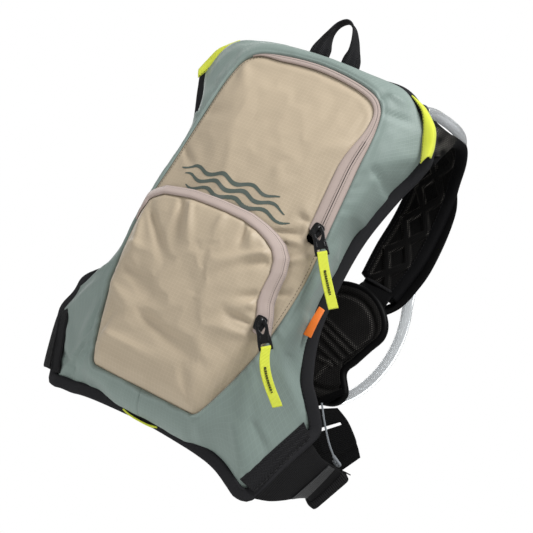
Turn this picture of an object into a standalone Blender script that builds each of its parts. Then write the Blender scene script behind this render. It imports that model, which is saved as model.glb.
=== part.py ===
"""Hydration pack: a ripstop pack body, its zips and pulls, a vest harness, and the drinking system.

Drawn with the bottom seam at z = 0 and the pack's middle at x = 0. The outer face looks along -Y and
the wearer is on the +Y side. Everything hangs from one empty, which puts the top inside of the haul
loop at the world's origin. Lengths are in millimetres and become metres when a mesh is made.
"""

from math import atan2, cos, pi, radians, sin

import bmesh
import bpy
from mathutils import Matrix, Vector

MM = 0.001

# Driving dimensions
HANG_POINT = (-4.0, 5.0, 444.0)   # inside of the haul loop's top
CENTRE_Z = 200.0                  # rays to the outlines start here
GAP = 0.3                         # between pieces that touch
FABRIC = 1.4                      # thickness of a sewn fabric panel
TAPE = 0.9                        # thickness of zip tape and trim
WEBBING = 1.6                     # thickness of webbing
SHELL_BULGE = 4.0                 # how far the side wall stands out of its chord
BINDING_WIDTH = 9.0
BINDING_DEPTH = 5.0
CROWN_Y = -38.0                   # front panel's deepest point
BACK_Y = 7.0                      # back panel's middle
PAD_THICKNESS = 8.0
STRAP_THICKNESS = 8.0
PANEL_THICKNESS = 8.0
PANEL_Y = 118.0                   # vest panels' middle plane
HOSE_RADIUS = 5.5
SLEEVE_RADIUS = 7.4
HARNESS_AXIS = (150.0, 22.0)      # x, y of the line that each harness half swings about
HANGING = Vector((0.492, 0.386, -0.780)).normalized()   # way the zip pulls hang
SLIDER_SIZE = (9.5, 3.4, 13.0)    # across the zip, off the pack, along the zip
PIVOT_RISE = 3.1                  # puller's pivot above the slider's middle
PULLER_LENGTH = 27.0
PULLER_THICKNESS = 1.4
BAR_DEPTH = 1.6                   # of the puller's lower bar
PIVOT_BAR = 2.0                   # of the bar under the slider's bridge
TAB_SIZE = (9.2, 4.6, 58.0)       # of the folded webbing pull: width, thickness, length
HEM_SHARE = 0.082                 # part of a strap's width under each binding
DROP_HALF_WIDTH = 17.0            # of the webbing between shoulder strap and vest panel
STERNUM_HALF_WIDTH = 10.0
LABEL_HEIGHT = 159.0
BUCKLE_CENTRE = (36.0, 127.2, 190.0)

# Right half of each outline, from its bottom middle to its top middle
BACK_HALF = [
    (0, 4, 10), (60, 7, 10), (92, 12, 5), (120, 16, 0), (136, 18, 36), (149, 21, 72), (131, 19, 112),
    (116, 21, 152), (110, 25, 200), (111, 27, 250), (121, 27, 296), (137, 24, 336), (140, 20, 354),
    (126, 16, 375), (106, 14, 390), (79, 11, 398), (40, 6, 401), (0, 5, 402),
]
FRONT_HALF = [
    (0, -22, 30), (46, -22, 30), (61, -22, 35), (73, -21, 54), (84, -20, 84), (91, -20, 120),
    (97, -19, 185), (93, -18, 240), (89, -16, 300), (86, -13, 345), (77, -11, 371), (52, -9, 384),
    (0, -8, 390),
]
# Top and right side of the lower pocket; the front outline gives the rest of it
POCKET_CENTRE = (0.0, 120.0)
POCKET_TOP = [
    (-130, 0), (112, 0), (112, 95), (93, 126), (85, 160), (78, 189), (71, 205), (56, 214), (10, 222),
    (-38, 220), (-96, 208), (-130, 204),
]

COLOURS = {
    "sage": (0.33, 0.40, 0.35), "beige": (0.52, 0.45, 0.34), "zip_tape": (0.50, 0.41, 0.36),
    "neon": (0.72, 0.78, 0.10), "orange": (0.85, 0.22, 0.02), "black": (0.02, 0.02, 0.022),
    "mesh": (0.035, 0.035, 0.035), "webbing": (0.025, 0.025, 0.028), "elastic": (0.03, 0.03, 0.03),
    "metal": (0.03, 0.03, 0.03), "plastic": (0.02, 0.02, 0.02), "hose": (0.75, 0.77, 0.78),
    "clear": (0.70, 0.78, 0.82), "silicone": (0.60, 0.62, 0.62), "grey": (0.35, 0.36, 0.37),
}


# ---------------------------------------------------------------- points and outlines

def smooth_path(points, per_span, closed=False):
    """Catmull-Rom curve through the points, with per_span steps from each point to the next."""
    points = [Vector(p) for p in points]
    count = len(points)

    def pick(i):
        return points[i % count] if closed else points[min(max(i, 0), count - 1)]

    path = []
    for i in range(count if closed else count - 1):
        a, b, c, d = (pick(i + k) for k in (-1, 0, 1, 2))
        for step in range(per_span):
            t = step / per_span
            path.append(0.5 * (2 * b + (c - a) * t + (2 * a - 5 * b + 4 * c - d) * t * t
                               + (3 * b - a - 3 * c + d) * t ** 3))
    if not closed:
        path.append(points[-1])
    return path


def both_halves(half):
    """A closed outline, bottom middle, right side, top middle, left side."""
    return [Vector(p) for p in half] + [Vector((-x, y, z)) for x, y, z in half[-2:0:-1]]


def inset(outline, distance):
    """The outline moved inwards in the XZ plane."""
    moved = []
    for i, point in enumerate(outline):
        along = outline[(i + 1) % len(outline)] - outline[i - 1]
        moved.append(point + Vector((-along.z, 0, along.x)).normalized() * distance)
    return moved


def at_angle(outline, angle, centre=(0.0, CENTRE_Z)):
    """Where a ray from the centre, at an angle up from +X, meets a closed outline."""
    ray = Vector((cos(angle), sin(angle)))
    for a, b in zip(outline, outline[1:] + outline[:1]):
        side_a = ray.x * (a.z - centre[1]) - ray.y * (a.x - centre[0])
        side_b = ray.x * (b.z - centre[1]) - ray.y * (b.x - centre[0])
        ahead = ray.x * (a.x - centre[0]) + ray.y * (a.z - centre[1])
        if side_a <= 0 < side_b and ahead > 0:
            return a.lerp(b, side_a / (side_a - side_b))
    raise ValueError("the ray misses the outline")


BACK = smooth_path(both_halves(BACK_HALF), 3, closed=True)
BACK_EDGE = inset(BACK, BINDING_WIDTH + 1.0)
FRONT = smooth_path(both_halves(FRONT_HALF), 4, closed=True)
ANGLES = [atan2(p.z - CENTRE_Z, p.x) for p in smooth_path(both_halves(BACK_HALF), 2, closed=True)]


def angle_of_height(outline, height):
    """Angle at which the outline's right side passes a height."""
    for a, b in zip(outline, outline[1:] + outline[:1]):
        if a.x > 30 and (a.z - height) * (b.z - height) <= 0 and a.z != b.z:
            point = a.lerp(b, (height - a.z) / (b.z - a.z))
            return atan2(point.z - CENTRE_Z, point.x)
    raise ValueError("the outline has no such height")


def wall_frame(angle):
    """Front end, back end and outward normal of the side wall at an angle."""
    front = at_angle(FRONT, angle)
    back = at_angle(BACK_EDGE, angle)
    chord = (back - front).normalized()
    outward = Vector((cos(angle), 0, sin(angle)))
    return front, back, (outward - outward.dot(chord) * chord).normalized()


def wall_point(angle, share, lift=0.0):
    """A point of the side wall: share 0 is the front seam, 1 the back binding."""
    front, back, normal = wall_frame(angle)
    bulge = 6.75 * SHELL_BULGE * share * (1 - share) ** 2
    return front.lerp(back, share) + normal * (bulge + lift)


def front_y(x, z):
    """Depth of the front panel's middle surface."""
    angle = atan2(z - CENTRE_Z, x)
    seam = at_angle(FRONT, angle)
    share = min(Vector((x, z - CENTRE_Z)).length / Vector((seam.x, seam.z - CENTRE_Z)).length, 1)
    return CROWN_Y + (seam.y - CROWN_Y) * share ** 2


def pocket_edge(angle):
    """Pocket outline: its own top, or the front seam where that comes first."""
    top = at_angle([Vector((x, 0, z)) for x, z in POCKET_TOP], angle, POCKET_CENTRE)
    seam = at_angle(inset(FRONT, 2.0), angle, POCKET_CENTRE)
    centre = Vector((POCKET_CENTRE[0], 0, POCKET_CENTRE[1]))
    flat_seam = Vector((seam.x, 0, seam.z))
    return min((top, flat_seam), key=lambda p: (p - centre).length)


def pocket_lift(share):
    """How far the pocket stands off the front panel, from its middle, 0, to its edge, 1."""
    return 2.2 + 13.0 * (1 - share ** 6) ** 0.6


def pocket_point(angle, share, lift=0.0):
    edge = pocket_edge(angle)
    x = POCKET_CENTRE[0] + (edge.x - POCKET_CENTRE[0]) * share
    z = POCKET_CENTRE[1] + (edge.z - POCKET_CENTRE[1]) * share
    return Vector((x, front_y(x, z) - pocket_lift(share) - lift, z))


# ---------------------------------------------------------------- objects

for old in list(bpy.data.objects):
    bpy.data.objects.remove(old, do_unlink=True)

PARTS = bpy.data.collections.new("hydration_pack")
CUTTERS = bpy.data.collections.new("hydration_pack_cutters")
for group in (PARTS, CUTTERS):
    bpy.context.scene.collection.children.link(group)

HANG = bpy.data.objects.new("haul_point", None)
HANG.location = -Vector(HANG_POINT) * MM
PARTS.objects.link(HANG)


def material(name, colour):
    shade = bpy.data.materials.new(name)
    shade.use_nodes = True
    shader = shade.node_tree.nodes["Principled BSDF"]
    shader.inputs["Base Color"].default_value = (*COLOURS[colour], 1)
    shader.inputs["Roughness"].default_value = 0.35 if colour in ("metal", "plastic", "hose", "clear") else 0.8
    shader.inputs["Metallic"].default_value = 1.0 if colour == "metal" else 0.0
    return shade


def place(name, data, colour, origin=(0, 0, 0), rotation=None):
    """An object of the pack, at an origin given in millimetres."""
    thing = bpy.data.objects.new(name, data)
    PARTS.objects.link(thing)
    thing.parent = HANG
    thing.location = Vector(origin) * MM
    if rotation is not None:
        thing.rotation_euler = rotation.to_euler()
    data.materials.append(material(name, colour))
    return thing


def axes(across, out, up):
    """Rotation that sends local X, Y and Z to these directions."""
    return Matrix((across, out, up)).transposed()


def solidify(thing, thickness):
    shell = thing.modifiers.new("thickness", "SOLIDIFY")
    shell.thickness = thickness * MM
    shell.offset = 0
    shell.use_even_offset = True
    return thing


def bevel(thing, width):
    edge = thing.modifiers.new("edges", "BEVEL")
    edge.width = width * MM
    edge.segments = 1
    edge.limit_method = "ANGLE"
    edge.angle_limit = radians(50)
    return thing


def sheet(name, rows, thickness, colour, ring=False, centre=None, origin=(0, 0, 0)):
    """A curved sheet through rows of points. ring joins each row's ends; centre closes the last row."""
    origin = Vector(origin)
    columns = len(rows[0])
    points = [(p - origin) * MM for row in rows for p in row]
    faces = []
    for r in range(len(rows) - 1):
        for c in range(columns if ring else columns - 1):
            d = (c + 1) % columns
            faces.append((r * columns + c, r * columns + d, (r + 1) * columns + d, (r + 1) * columns + c))
    if centre is not None:
        points.append((centre - origin) * MM)
        last = (len(rows) - 1) * columns
        faces += [(last + c, last + (c + 1) % columns, len(points) - 1) for c in range(columns)]
    mesh = bpy.data.meshes.new(name)
    mesh.from_pydata(points, [], faces)
    mesh.shade_smooth()
    return solidify(place(name, mesh, colour, origin), thickness)


def band(name, one_edge, other_edge, thickness, colour, columns=2, origin=(0, 0, 0)):
    """A band between two edges that have as many points as each other."""
    rows = [[a.lerp(b, c / columns) for c in range(columns + 1)] for a, b in zip(one_edge, other_edge)]
    return sheet(name, rows, thickness, colour, origin=origin)


def tube(name, points, radius, colour, resolution=2):
    """A round tube on a poly line, with filled ends."""
    curve = bpy.data.curves.new(name, "CURVE")
    curve.dimensions = "3D"
    curve.bevel_depth = radius * MM
    curve.bevel_resolution = resolution
    curve.use_fill_caps = True
    line = curve.splines.new("POLY")
    line.points.add(len(points) - 1)
    for spot, point in zip(line.points, points):
        spot.co = (*(Vector(point) * MM), 1)
    return place(name, curve, colour)


def flat_outline(name, outlines, thickness, colour, origin=(0, 0, 0), rotation=None, edge=0.0):
    """A flat plate: the first outline is its edge and any others are holes, in local X and Y."""
    curve = bpy.data.curves.new(name, "CURVE")
    curve.dimensions = "2D"
    curve.fill_mode = "BOTH"
    curve.extrude = (thickness / 2 - edge) * MM
    curve.bevel_depth = edge * MM
    curve.bevel_resolution = 0
    curve.offset = -edge * MM
    for outline in outlines:
        line = curve.splines.new("POLY")
        line.points.add(len(outline) - 1)
        line.use_cyclic_u = True
        for spot, (x, y) in zip(line.points, outline):
            spot.co = (x * MM, y * MM, 0, 1)
    return place(name, curve, colour, origin, rotation)


def rounded_box(width, height, radius, steps=2, centre=(0.0, 0.0)):
    """Outline of a rectangle with round corners."""
    outline = []
    for quarter, (sx, sy) in enumerate(((1, 1), (-1, 1), (-1, -1), (1, -1))):
        for step in range(steps + 1):
            turn = pi / 2 * (quarter + step / steps)
            outline.append((centre[0] + sx * (width / 2 - radius) + radius * cos(turn),
                            centre[1] + sy * (height / 2 - radius) + radius * sin(turn)))
    return outline


def as_mesh(thing):
    """Turns a curve object into a welded mesh object of the same name and place."""
    evaluated = thing.evaluated_get(bpy.context.evaluated_depsgraph_get())
    mesh = bpy.data.meshes.new_from_object(evaluated)
    work = bmesh.new()
    work.from_mesh(mesh)
    bmesh.ops.remove_doubles(work, verts=work.verts, dist=0.00001)
    bmesh.ops.recalc_face_normals(work, faces=work.faces)
    work.to_mesh(mesh)
    work.free()
    name, parent, place_of = thing.name, thing.parent, thing.matrix_basis.copy()
    curve = thing.data
    bpy.data.objects.remove(thing)
    bpy.data.curves.remove(curve)
    solid = bpy.data.objects.new(name, mesh)
    PARTS.objects.link(solid)
    solid.parent = parent
    solid.matrix_basis = place_of
    bpy.context.view_layer.update()
    return solid


def block(name, size, colour, origin=(0, 0, 0), rotation=None, edge=0.0):
    """A box about its origin, with its edges bevelled."""
    mesh = bpy.data.meshes.new(name)
    work = bmesh.new()
    bmesh.ops.create_cube(work, size=1.0, matrix=Matrix.Diagonal((*(Vector(size) * MM), 1)))
    work.to_mesh(mesh)
    work.free()
    thing = place(name, mesh, colour, origin, rotation)
    return bevel(thing, edge) if edge else thing


def combine(thing, other, operation):
    """Joins or cuts a piece with another solid, which is then hidden."""
    for group in list(other.users_collection):
        group.objects.unlink(other)
    CUTTERS.objects.link(other)
    other.hide_render = True
    other.display_type = "WIRE"
    change = thing.modifiers.new(operation.lower(), "BOOLEAN")
    change.operation = operation
    change.solver = "EXACT"
    change.object = other
    return thing


def turned(name, profile, colour, origin, rotation, steps=16):
    """A solid turned about local Z from a profile of (radius, height), top to bottom."""
    mesh = bpy.data.meshes.new(name)
    mesh.from_pydata([(r * MM, 0, h * MM) for r, h in profile], [(i, i + 1) for i in range(len(profile) - 1)], [])
    thing = place(name, mesh, colour, origin, rotation)
    screw = thing.modifiers.new("turn", "SCREW")
    screw.steps = screw.render_steps = steps
    screw.use_merge_vertices = True
    screw.merge_threshold = 0.00005
    screw.use_smooth_shade = True
    return thing


def side_of(side):
    return "right" if side > 0 else "left"


def mirrored(points, side):
    return [Vector((x * side, y, z)) for x, y, z in points]


# ---------------------------------------------------------------- pack body

def make_back():
    """Back panel, its flat foam pad on the wearer's side, and the binding round its edge."""
    middle = Vector((0, BACK_Y, CENTRE_Z))
    rows = []
    for share in (1.0, 0.85, 0.65, 0.35):
        ring = []
        for angle in ANGLES:
            edge = at_angle(BACK_EDGE, angle)
            point = middle.lerp(edge, share)
            point.y = BACK_Y + (edge.y - BACK_Y) * share ** 3 + 1.2
            ring.append(point)
        rows.append(ring)
    sheet("back_panel", rows, FABRIC, "mesh", ring=True, centre=middle + Vector((0, 1.2, 0)))

    pad_y = BACK_Y + 6.5 + PAD_THICKNESS / 2
    upright = Matrix.Rotation(radians(90), 3, "X")
    flat_outline("back_pad", [rounded_box(122, 290, 26, 4)], PAD_THICKNESS, "mesh",
                 origin=(0, pad_y, 205), rotation=upright, edge=1.5)

    rim = inset(BACK, BINDING_WIDTH)
    rim_ring = [at_angle(rim, angle) for angle in ANGLES]
    outer_ring = [at_angle(BACK, angle) for angle in ANGLES]
    sheet("back_binding", [rim_ring, outer_ring], BINDING_DEPTH, "black", ring=True)


def shell_end(angle):
    """Share of the side wall at which the shell stops, just short of the back binding."""
    front, back, _ = wall_frame(angle)
    return 1 - (BINDING_DEPTH / 2 + FABRIC) / (back.y - front.y)


def make_shell():
    shares = (0.02, 0.22, 0.45, 0.78, 1.0)
    rows = [[wall_point(angle, share * shell_end(angle)) for angle in ANGLES] for share in shares]
    sheet("main_shell", rows, FABRIC, "sage", ring=True)


def make_front():
    rows = []
    for share in (0.985, 0.85, 0.65, 0.35):
        ring = []
        for angle in ANGLES:
            seam = at_angle(FRONT, angle)
            x, z = seam.x * share, CENTRE_Z + (seam.z - CENTRE_Z) * share
            ring.append(Vector((x, front_y(x, z), z)))
        rows.append(ring)
    sheet("front_panel", rows, FABRIC, "beige", ring=True, centre=Vector((0, CROWN_Y, CENTRE_Z)))


def edge_ribbon(name, low, high, side, shares, colour):
    """A ribbon on the side wall that folds over the binding, between two angles."""
    span = [a for a in ANGLES if low < a < high]
    if side < 0:
        span = [pi - a if a >= 0 else -pi - a for a in span]
    fold = Vector((0, -BINDING_DEPTH / 2 - 3.0, 0))
    rows = [[wall_point(a, share, 3.2) for share in shares] + [at_angle(BACK, a) + fold] for a in span]
    return sheet(name, rows, TAPE, colour)


def tape_width(height):
    """Main zip tape: full width beside the straight run, narrow round the top."""
    return 16.0 - 9.0 * min(max((height - 290) / 75, 0), 1)


def tape_point(angle, share, lift):
    """A point of the main zip tape: share 0 is the seam with the side wall, 1 the tape's inner edge."""
    seam = at_angle(inset(FRONT, 1.0), angle)
    point = at_angle(inset(FRONT, 1.0 + share * tape_width(seam.z)), angle)
    return Vector((point.x, front_y(point.x, point.z), point.z)) + face_normal(point.x, point.z) * lift


def face_normal(x, z):
    """Outward normal of the front panel."""
    slope_x = front_y(x + 1, z) - front_y(x - 1, z)
    slope_z = front_y(x, z + 1) - front_y(x, z - 1)
    return Vector((slope_x / 2, -1, slope_z / 2)).normalized()


def pocket_angles(first, last, count):
    return [first + (last - first) * i / (count - 1) for i in range(count)]


def make_pocket():
    ring = pocket_angles(0, 2 * pi, 49)[:-1]
    shares = (1.0, 0.97, 0.9, 0.75, 0.45)
    rows = [[pocket_point(angle, share) for angle in ring] for share in shares]
    middle = Vector((POCKET_CENTRE[0], pocket_point(0, 0).y, POCKET_CENTRE[1]))
    sheet("lower_pocket", rows, FABRIC, "beige", ring=True, centre=middle)

    top = [a for a in ring if radians(2) < a < radians(140)]
    rows = [[pocket_point(a, share, 1.7) for share in (0.965, 0.93, 0.9)] for a in top]
    sheet("pocket_zip_tape", rows, TAPE, "zip_tape")


def make_haul_loop():
    """Webbing loop: flat where it is sewn down, folded narrow and turned edge-on over the hand."""
    line = [(-16, 2, 406), (-17, 3, 417), (-17, 4, 429), (-13, 5, 441), (-5, 5, 446), (4, 5, 442),
            (12, 4, 430), (18, 3, 417), (22, 2, 406)]
    half_widths = [(11, 0, 0), (8, 3, 1), (3, 5, 1), (0, 6, 0), (0, 6, 0), (0, 6, 0), (2, 5, 1), (6, 3, 1), (10, 0, 0)]
    path = smooth_path(line, 3)
    width = smooth_path(half_widths, 3)
    band("haul_loop", [p - w for p, w in zip(path, width)], [p + w for p, w in zip(path, width)], 3.4, "webbing")


def make_trims():
    right_top = angle_of_height(BACK, 338)
    top_end = atan2(398 - CENTRE_Z, 84)
    for side in (1, -1):
        edge_ribbon(side_of(side) + "_corner_trim", right_top, top_end, side, (0.91, 0.96), "neon")
        low, high = angle_of_height(BACK, 2), angle_of_height(BACK, 74)
        edge_ribbon(side_of(side) + "_wing_webbing", low - 0.02, high + 0.01, side, (0.86, 0.94), "webbing")
    block("bottom_loop", (38, 9, 2.4), "neon", origin=(0, 5.5, 5.0), edge=0.6)
    label_angle = angle_of_height(BACK_EDGE, LABEL_HEIGHT)
    spot = wall_point(label_angle, 0.78)
    along = (wall_point(label_angle + 0.08, 0.78) - wall_point(label_angle - 0.08, 0.78)).normalized()
    across = (wall_point(label_angle, 0.88) - spot).normalized()
    normal = along.cross(across).normalized()
    across = normal.cross(along)
    block("side_label", (9, 1.8, 30), "orange", origin=spot + normal * 3.2,
          rotation=axes(across, normal, along), edge=0.4)


# ---------------------------------------------------------------- zips

def make_slider(name, spot, along, normal):
    """Slider body with a bridge that the puller's bar lies under."""
    across = normal.cross(along).normalized()
    body = block(name, SLIDER_SIZE, "metal", origin=spot, rotation=axes(across, normal, along), edge=0.8)
    outer = rounded_box(6.8, 8.6, 1.6, 2, (2.6, 0.0))
    hole = rounded_box(3.4, 5.8, 0.8, 2, (PIVOT_RISE, 0.0))
    bridge = flat_outline(name + "_bridge", [outer, hole], 2.6, "metal", origin=spot,
                          rotation=axes(normal, along, across))
    return combine(body, as_mesh(bridge), "UNION")


def make_pull(prefix, spot, hang, normal):
    """Metal puller with two windows, and the webbing tab looped through the lower one."""
    across = normal.cross(hang).normalized()
    pivot = spot + normal * PIVOT_RISE
    top = PIVOT_BAR / 2
    bottom = top - PULLER_LENGTH
    window_width, window_height = TAB_SIZE[0] + 0.6, 7.6
    outer = rounded_box(12.6, PULLER_LENGTH, 2.4, 2, (0.0, (top + bottom) / 2))
    upper = rounded_box(8.8, 9.4, 1.2, 1, (0.0, -top - 4.7))
    lower = rounded_box(window_width, window_height, 0.6, 1, (0.0, bottom + BAR_DEPTH + window_height / 2))
    flat_outline(prefix + "_puller", [outer, upper, lower], PULLER_THICKNESS, "metal", origin=pivot,
                 rotation=axes(across, -hang, normal))

    bar = pivot - hang * (bottom + BAR_DEPTH / 2)
    width, thickness, length = TAB_SIZE
    folded = rounded_box(thickness, length, 2.0, 2, (0.0, 3.2 - length / 2))
    eye = rounded_box(2.8, 2.8, 1.4, 2)
    flat_outline(prefix + "_pull_tab", [folded, eye], width, "neon", origin=bar,
                 rotation=axes(normal, -hang, -across))


def make_zips():
    low, high = angle_of_height(FRONT, 228), pi - angle_of_height(FRONT, 330)
    rows = [[tape_point(a, share, 1.9) for share in (0, 0.5, 1)] for a in ANGLES if low < a < high]
    sheet("main_zip_tape", rows, TAPE, "zip_tape")
    start = tape_point(angle_of_height(FRONT, 237), 0.5, 5.2)
    end = tape_point(angle_of_height(FRONT, 335), 0.5, 5.2)
    along = (end - start).normalized()
    normal = face_normal(start.x, start.z)
    normal = (normal - normal.dot(along) * along).normalized()
    make_slider("main_zip_slider", start, along, normal)
    hang = (HANGING - HANGING.dot(normal) * normal + normal * 0.12).normalized()
    make_pull("main_zip", start, hang, (normal - normal.dot(hang) * hang).normalized())

    low = pocket_point(radians(8), 0.93, 5.2)
    high = pocket_point(radians(38), 0.93, 5.2)
    along = (high - low).normalized()
    normal = Vector((0.45, -0.89, 0))
    normal = (normal - normal.dot(along) * along).normalized()
    make_slider("pocket_zip_slider", low, along, normal)
    hang = (HANGING - HANGING.dot(normal) * normal + normal * 0.12).normalized()
    make_pull("pocket_zip", low, hang, (normal - normal.dot(hang) * hang).normalized())


# ---------------------------------------------------------------- harness

ARM_EDGE = [(143, 38, 360), (145, 54, 371), (140, 80, 380), (134, 108, 374), (129, 132, 348), (129, 145, 304),
            (131, 142, 243)]
NECK_EDGE = [(89, 38, 394), (86, 56, 401), (83, 84, 402), (80, 114, 385), (78, 137, 342), (75, 146, 298),
             (73, 142, 250)]
PANEL_OUTLINE = [(54, 110), (48, 135), (47, 190), (53, 212), (70, 224), (96, 227), (118, 219), (134, 203),
                 (138, 187), (131, 170), (124, 153), (119, 140), (131, 120), (121, 104), (88, 100)]


def make_harness(side):
    """Shoulder strap, vest panel, elastic side wing and their webbing, on one side of the wearer."""
    name = side_of(side)
    root = (HARNESS_AXIS[0] * side, HARNESS_AXIS[1], 0)
    arm = smooth_path(mirrored(ARM_EDGE, side), 3)
    neck = smooth_path(mirrored(NECK_EDGE, side), 3)
    inner_arm = [a.lerp(n, HEM_SHARE + 0.008) for a, n in zip(arm, neck)]
    inner_neck = [n.lerp(a, HEM_SHARE + 0.008) for a, n in zip(arm, neck)]
    band(name + "_shoulder_strap", inner_arm, inner_neck, STRAP_THICKNESS, "mesh", origin=root)
    hem_arm = [a.lerp(n, HEM_SHARE) for a, n in zip(arm, neck)]
    hem_neck = [n.lerp(a, HEM_SHARE) for a, n in zip(arm, neck)]
    band(name + "_strap_arm_binding", arm, hem_arm, STRAP_THICKNESS + 1.5, "black", 1, origin=root)
    band(name + "_strap_neck_binding", neck, hem_neck, STRAP_THICKNESS + 1.5, "black", 1, origin=root)

    outline = [(x * side, z) for x, z in PANEL_OUTLINE]
    smooth = smooth_path([(x, z, 0) for x, z in outline], 2, closed=True)
    upright = Matrix.Rotation(radians(90), 3, "X")
    flat_outline(name + "_vest_panel", [[(p.x - root[0], p.y) for p in smooth]], PANEL_THICKNESS, "mesh",
                 origin=(root[0], PANEL_Y, 0), rotation=upright, edge=1.5)

    drop = [(96, 150.2, 262), (96, 149, 246), (96, 141, 236), (96, 130, 230), (96, 124.4, 220), (96, 123.6, 202)]
    drop = smooth_path(mirrored(drop, side), 2)
    half = Vector((DROP_HALF_WIDTH * side, 0, 0))
    band(name + "_drop_webbing", [p - half for p in drop], [p + half for p in drop], WEBBING, "webbing", 1,
         origin=root)

    top = smooth_path(mirrored([(154, 31, 73), (164, 54, 66), (172, 78, 58)], side), 3)
    low = smooth_path(mirrored([(124, 26, -7), (138, 50, -8), (149, 78, 4)], side), 3)
    band(name + "_side_elastic", top, low, 3.0, "elastic", 4, origin=root)
    patch_top = [p.lerp(q, 0.06) for p, q in zip(top[-3:], low[-3:])]
    patch_low = [p.lerp(q, 0.94) for p, q in zip(top[-3:], low[-3:])]
    outward = (top[-1] - top[-4]).cross(low[-1] - top[-1]).normalized() * (-side)
    patch = [[p + outward * 2.6 for p in edge] for edge in (patch_top, patch_low)]
    band(name + "_grip_patch", patch[0], patch[1], 1.2, "grey", 3, origin=root)

    roll = [Vector((176 * side, 91, 52)), Vector((167 * side, 91, 30)), Vector((158 * side, 91, 8))]
    tube(name + "_elastic_roll", roll, 8.0, "elastic", 2)
    outer = smooth_path(mirrored([(134, 108, 95), (160, 104, 88), (182, 101, 64)], side), 3)
    inner = smooth_path(mirrored([(106, 110, 92), (132, 106, 66), (164, 102, 30)], side), 3)
    tail = band(name + "_tail_band", outer, inner, 2.2, "elastic", 3, origin=root)
    slot_from = outer[2].lerp(inner[2], 0.5)
    slot_along = (inner[2] - outer[2]).normalized()
    slot_down = (outer[3] - outer[1]).normalized()
    slot_out = slot_down.cross(slot_along).normalized()
    slot_down = slot_along.cross(slot_out).normalized()
    cut = block(name + "_tail_slot", (20, 20, 3.2), "black", origin=slot_from,
                rotation=axes(slot_along, slot_out, slot_down))
    combine(tail, cut, "DIFFERENCE")

    if side > 0:
        tube("elastic_retainer", [(118, 101, 101), (148, 94, 82), (178, 86.5, 64)], 0.8, "grey", 1)

    strap = [Vector((88 * side, 123.6, 190)), Vector((60 * side, 124.0, 190)), Vector((50 * side, 127.0, 190))]
    half = Vector((0, 0, STERNUM_HALF_WIDTH))
    band(name + "_sternum_webbing", [p - half for p in strap], [p + half for p in strap], WEBBING, "webbing", 1,
         origin=root)


def make_buckles():
    """Two halves of the sternum buckle, unclipped."""
    x, y, z = BUCKLE_CENTRE
    upright = Matrix.Rotation(radians(90), 3, "X")
    socket = [rounded_box(26, 27, 5, 3), rounded_box(4, 21, 1, 1, (8.5, 0))]
    flat_outline("sternum_buckle_socket", socket, 8.0, "plastic", origin=(x, y, z), rotation=upright, edge=1.0)
    plug = [(-13, 12), (-4, 12), (-4, 8), (12, 8), (14, 11), (17, 10), (17, 7), (9, 3), (9, -3), (17, -7),
            (17, -10), (14, -11), (12, -8), (-4, -8), (-4, -12), (-13, -12)]
    slot = rounded_box(4, 21, 1, 1, (-8.5, 0))
    flat_outline("sternum_buckle_plug", [plug, slot], 5.0, "plastic", origin=(-x, y, z), rotation=upright)


# ---------------------------------------------------------------- drinking system

HOSE_ROUTE = [
    (103, 29, 394), (108, 38, 398), (114, 46, 399), (121, 55, 399), (126, 68, 399), (127, 83, 398),
    (125, 99, 394), (122, 116, 386), (119, 131, 373), (118, 145, 354), (118, 153, 330), (119, 158, 303),
    (121, 158, 277), (124, 156, 254), (130, 153, 235), (136, 152, 217), (140, 151, 196), (140, 150, 174),
    (135, 150, 151), (126, 149, 131), (113, 148, 116), (97, 147, 110), (81, 146, 112), (67, 145, 121),
    (57, 144, 136), (52, 143, 153), (50, 142, 170),
]
INNER_HOSE_ROUTE = [(30, -4, 62), (52, -4, 66), (72, -4, 80), (84, -4, 105), (86, -2, 150), (84, -1, 220),
                    (83, 0, 290), (80, 0, 335), (78, 1, 360), (78, 1, 376)]


def make_hose():
    route = smooth_path(HOSE_ROUTE, 2)
    tube("hose", route, HOSE_RADIUS, "hose", 3)
    sleeve_line = route[18:26]
    sleeve = as_mesh(tube("hose_sleeve", sleeve_line, SLEEVE_RADIUS, "black", 2))
    bore = as_mesh(tube("hose_sleeve_bore", [sleeve_line[0] * 2 - sleeve_line[1]] + sleeve_line
                        + [sleeve_line[-1] * 2 - sleeve_line[-2]], SLEEVE_RADIUS - 1.3, "black", 2))
    combine(sleeve, bore, "DIFFERENCE")


def facing(direction, beside):
    """Rotation that sends local Z to a direction, with local X square to beside."""
    across = direction.cross(beside).normalized()
    return axes(across, direction.cross(across), direction)


def hose_fitting(name, route, length):
    """A turned collar that a hose's first point leaves from."""
    start, after = smooth_path(route, 2)[:2]
    leave = (after - start).normalized()
    profile = [(0, 0), (6.2, 0), (7.0, -2), (7.0, -length), (0, -length)]
    turned(name, profile, "plastic", start - leave * GAP, facing(leave, Vector((0, 0, 1))))


def make_reservoir():
    """Water bag behind the back panel, its screw cap, its outlet and the hose that runs up inside."""
    hose_fitting("reservoir_outlet", INNER_HOSE_ROUTE, 12)
    tube("inner_hose", smooth_path(INNER_HOSE_ROUTE, 2), HOSE_RADIUS, "hose", 2)
    bag = block("reservoir", (146, 17, 270), "clear", origin=(-8, -14.5, 200))
    soft = bag.modifiers.new("soft", "SUBSURF")
    soft.levels = soft.render_levels = 3
    turned("reservoir_cap", [(0, 3.5), (20, 3.5), (22, 1.5), (22, -1.5), (0, -1.5)], "plastic",
           (-8, -26.5, 245), facing(Vector((0, -1, 0)), Vector((0, 0, 1))), steps=24)


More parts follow.
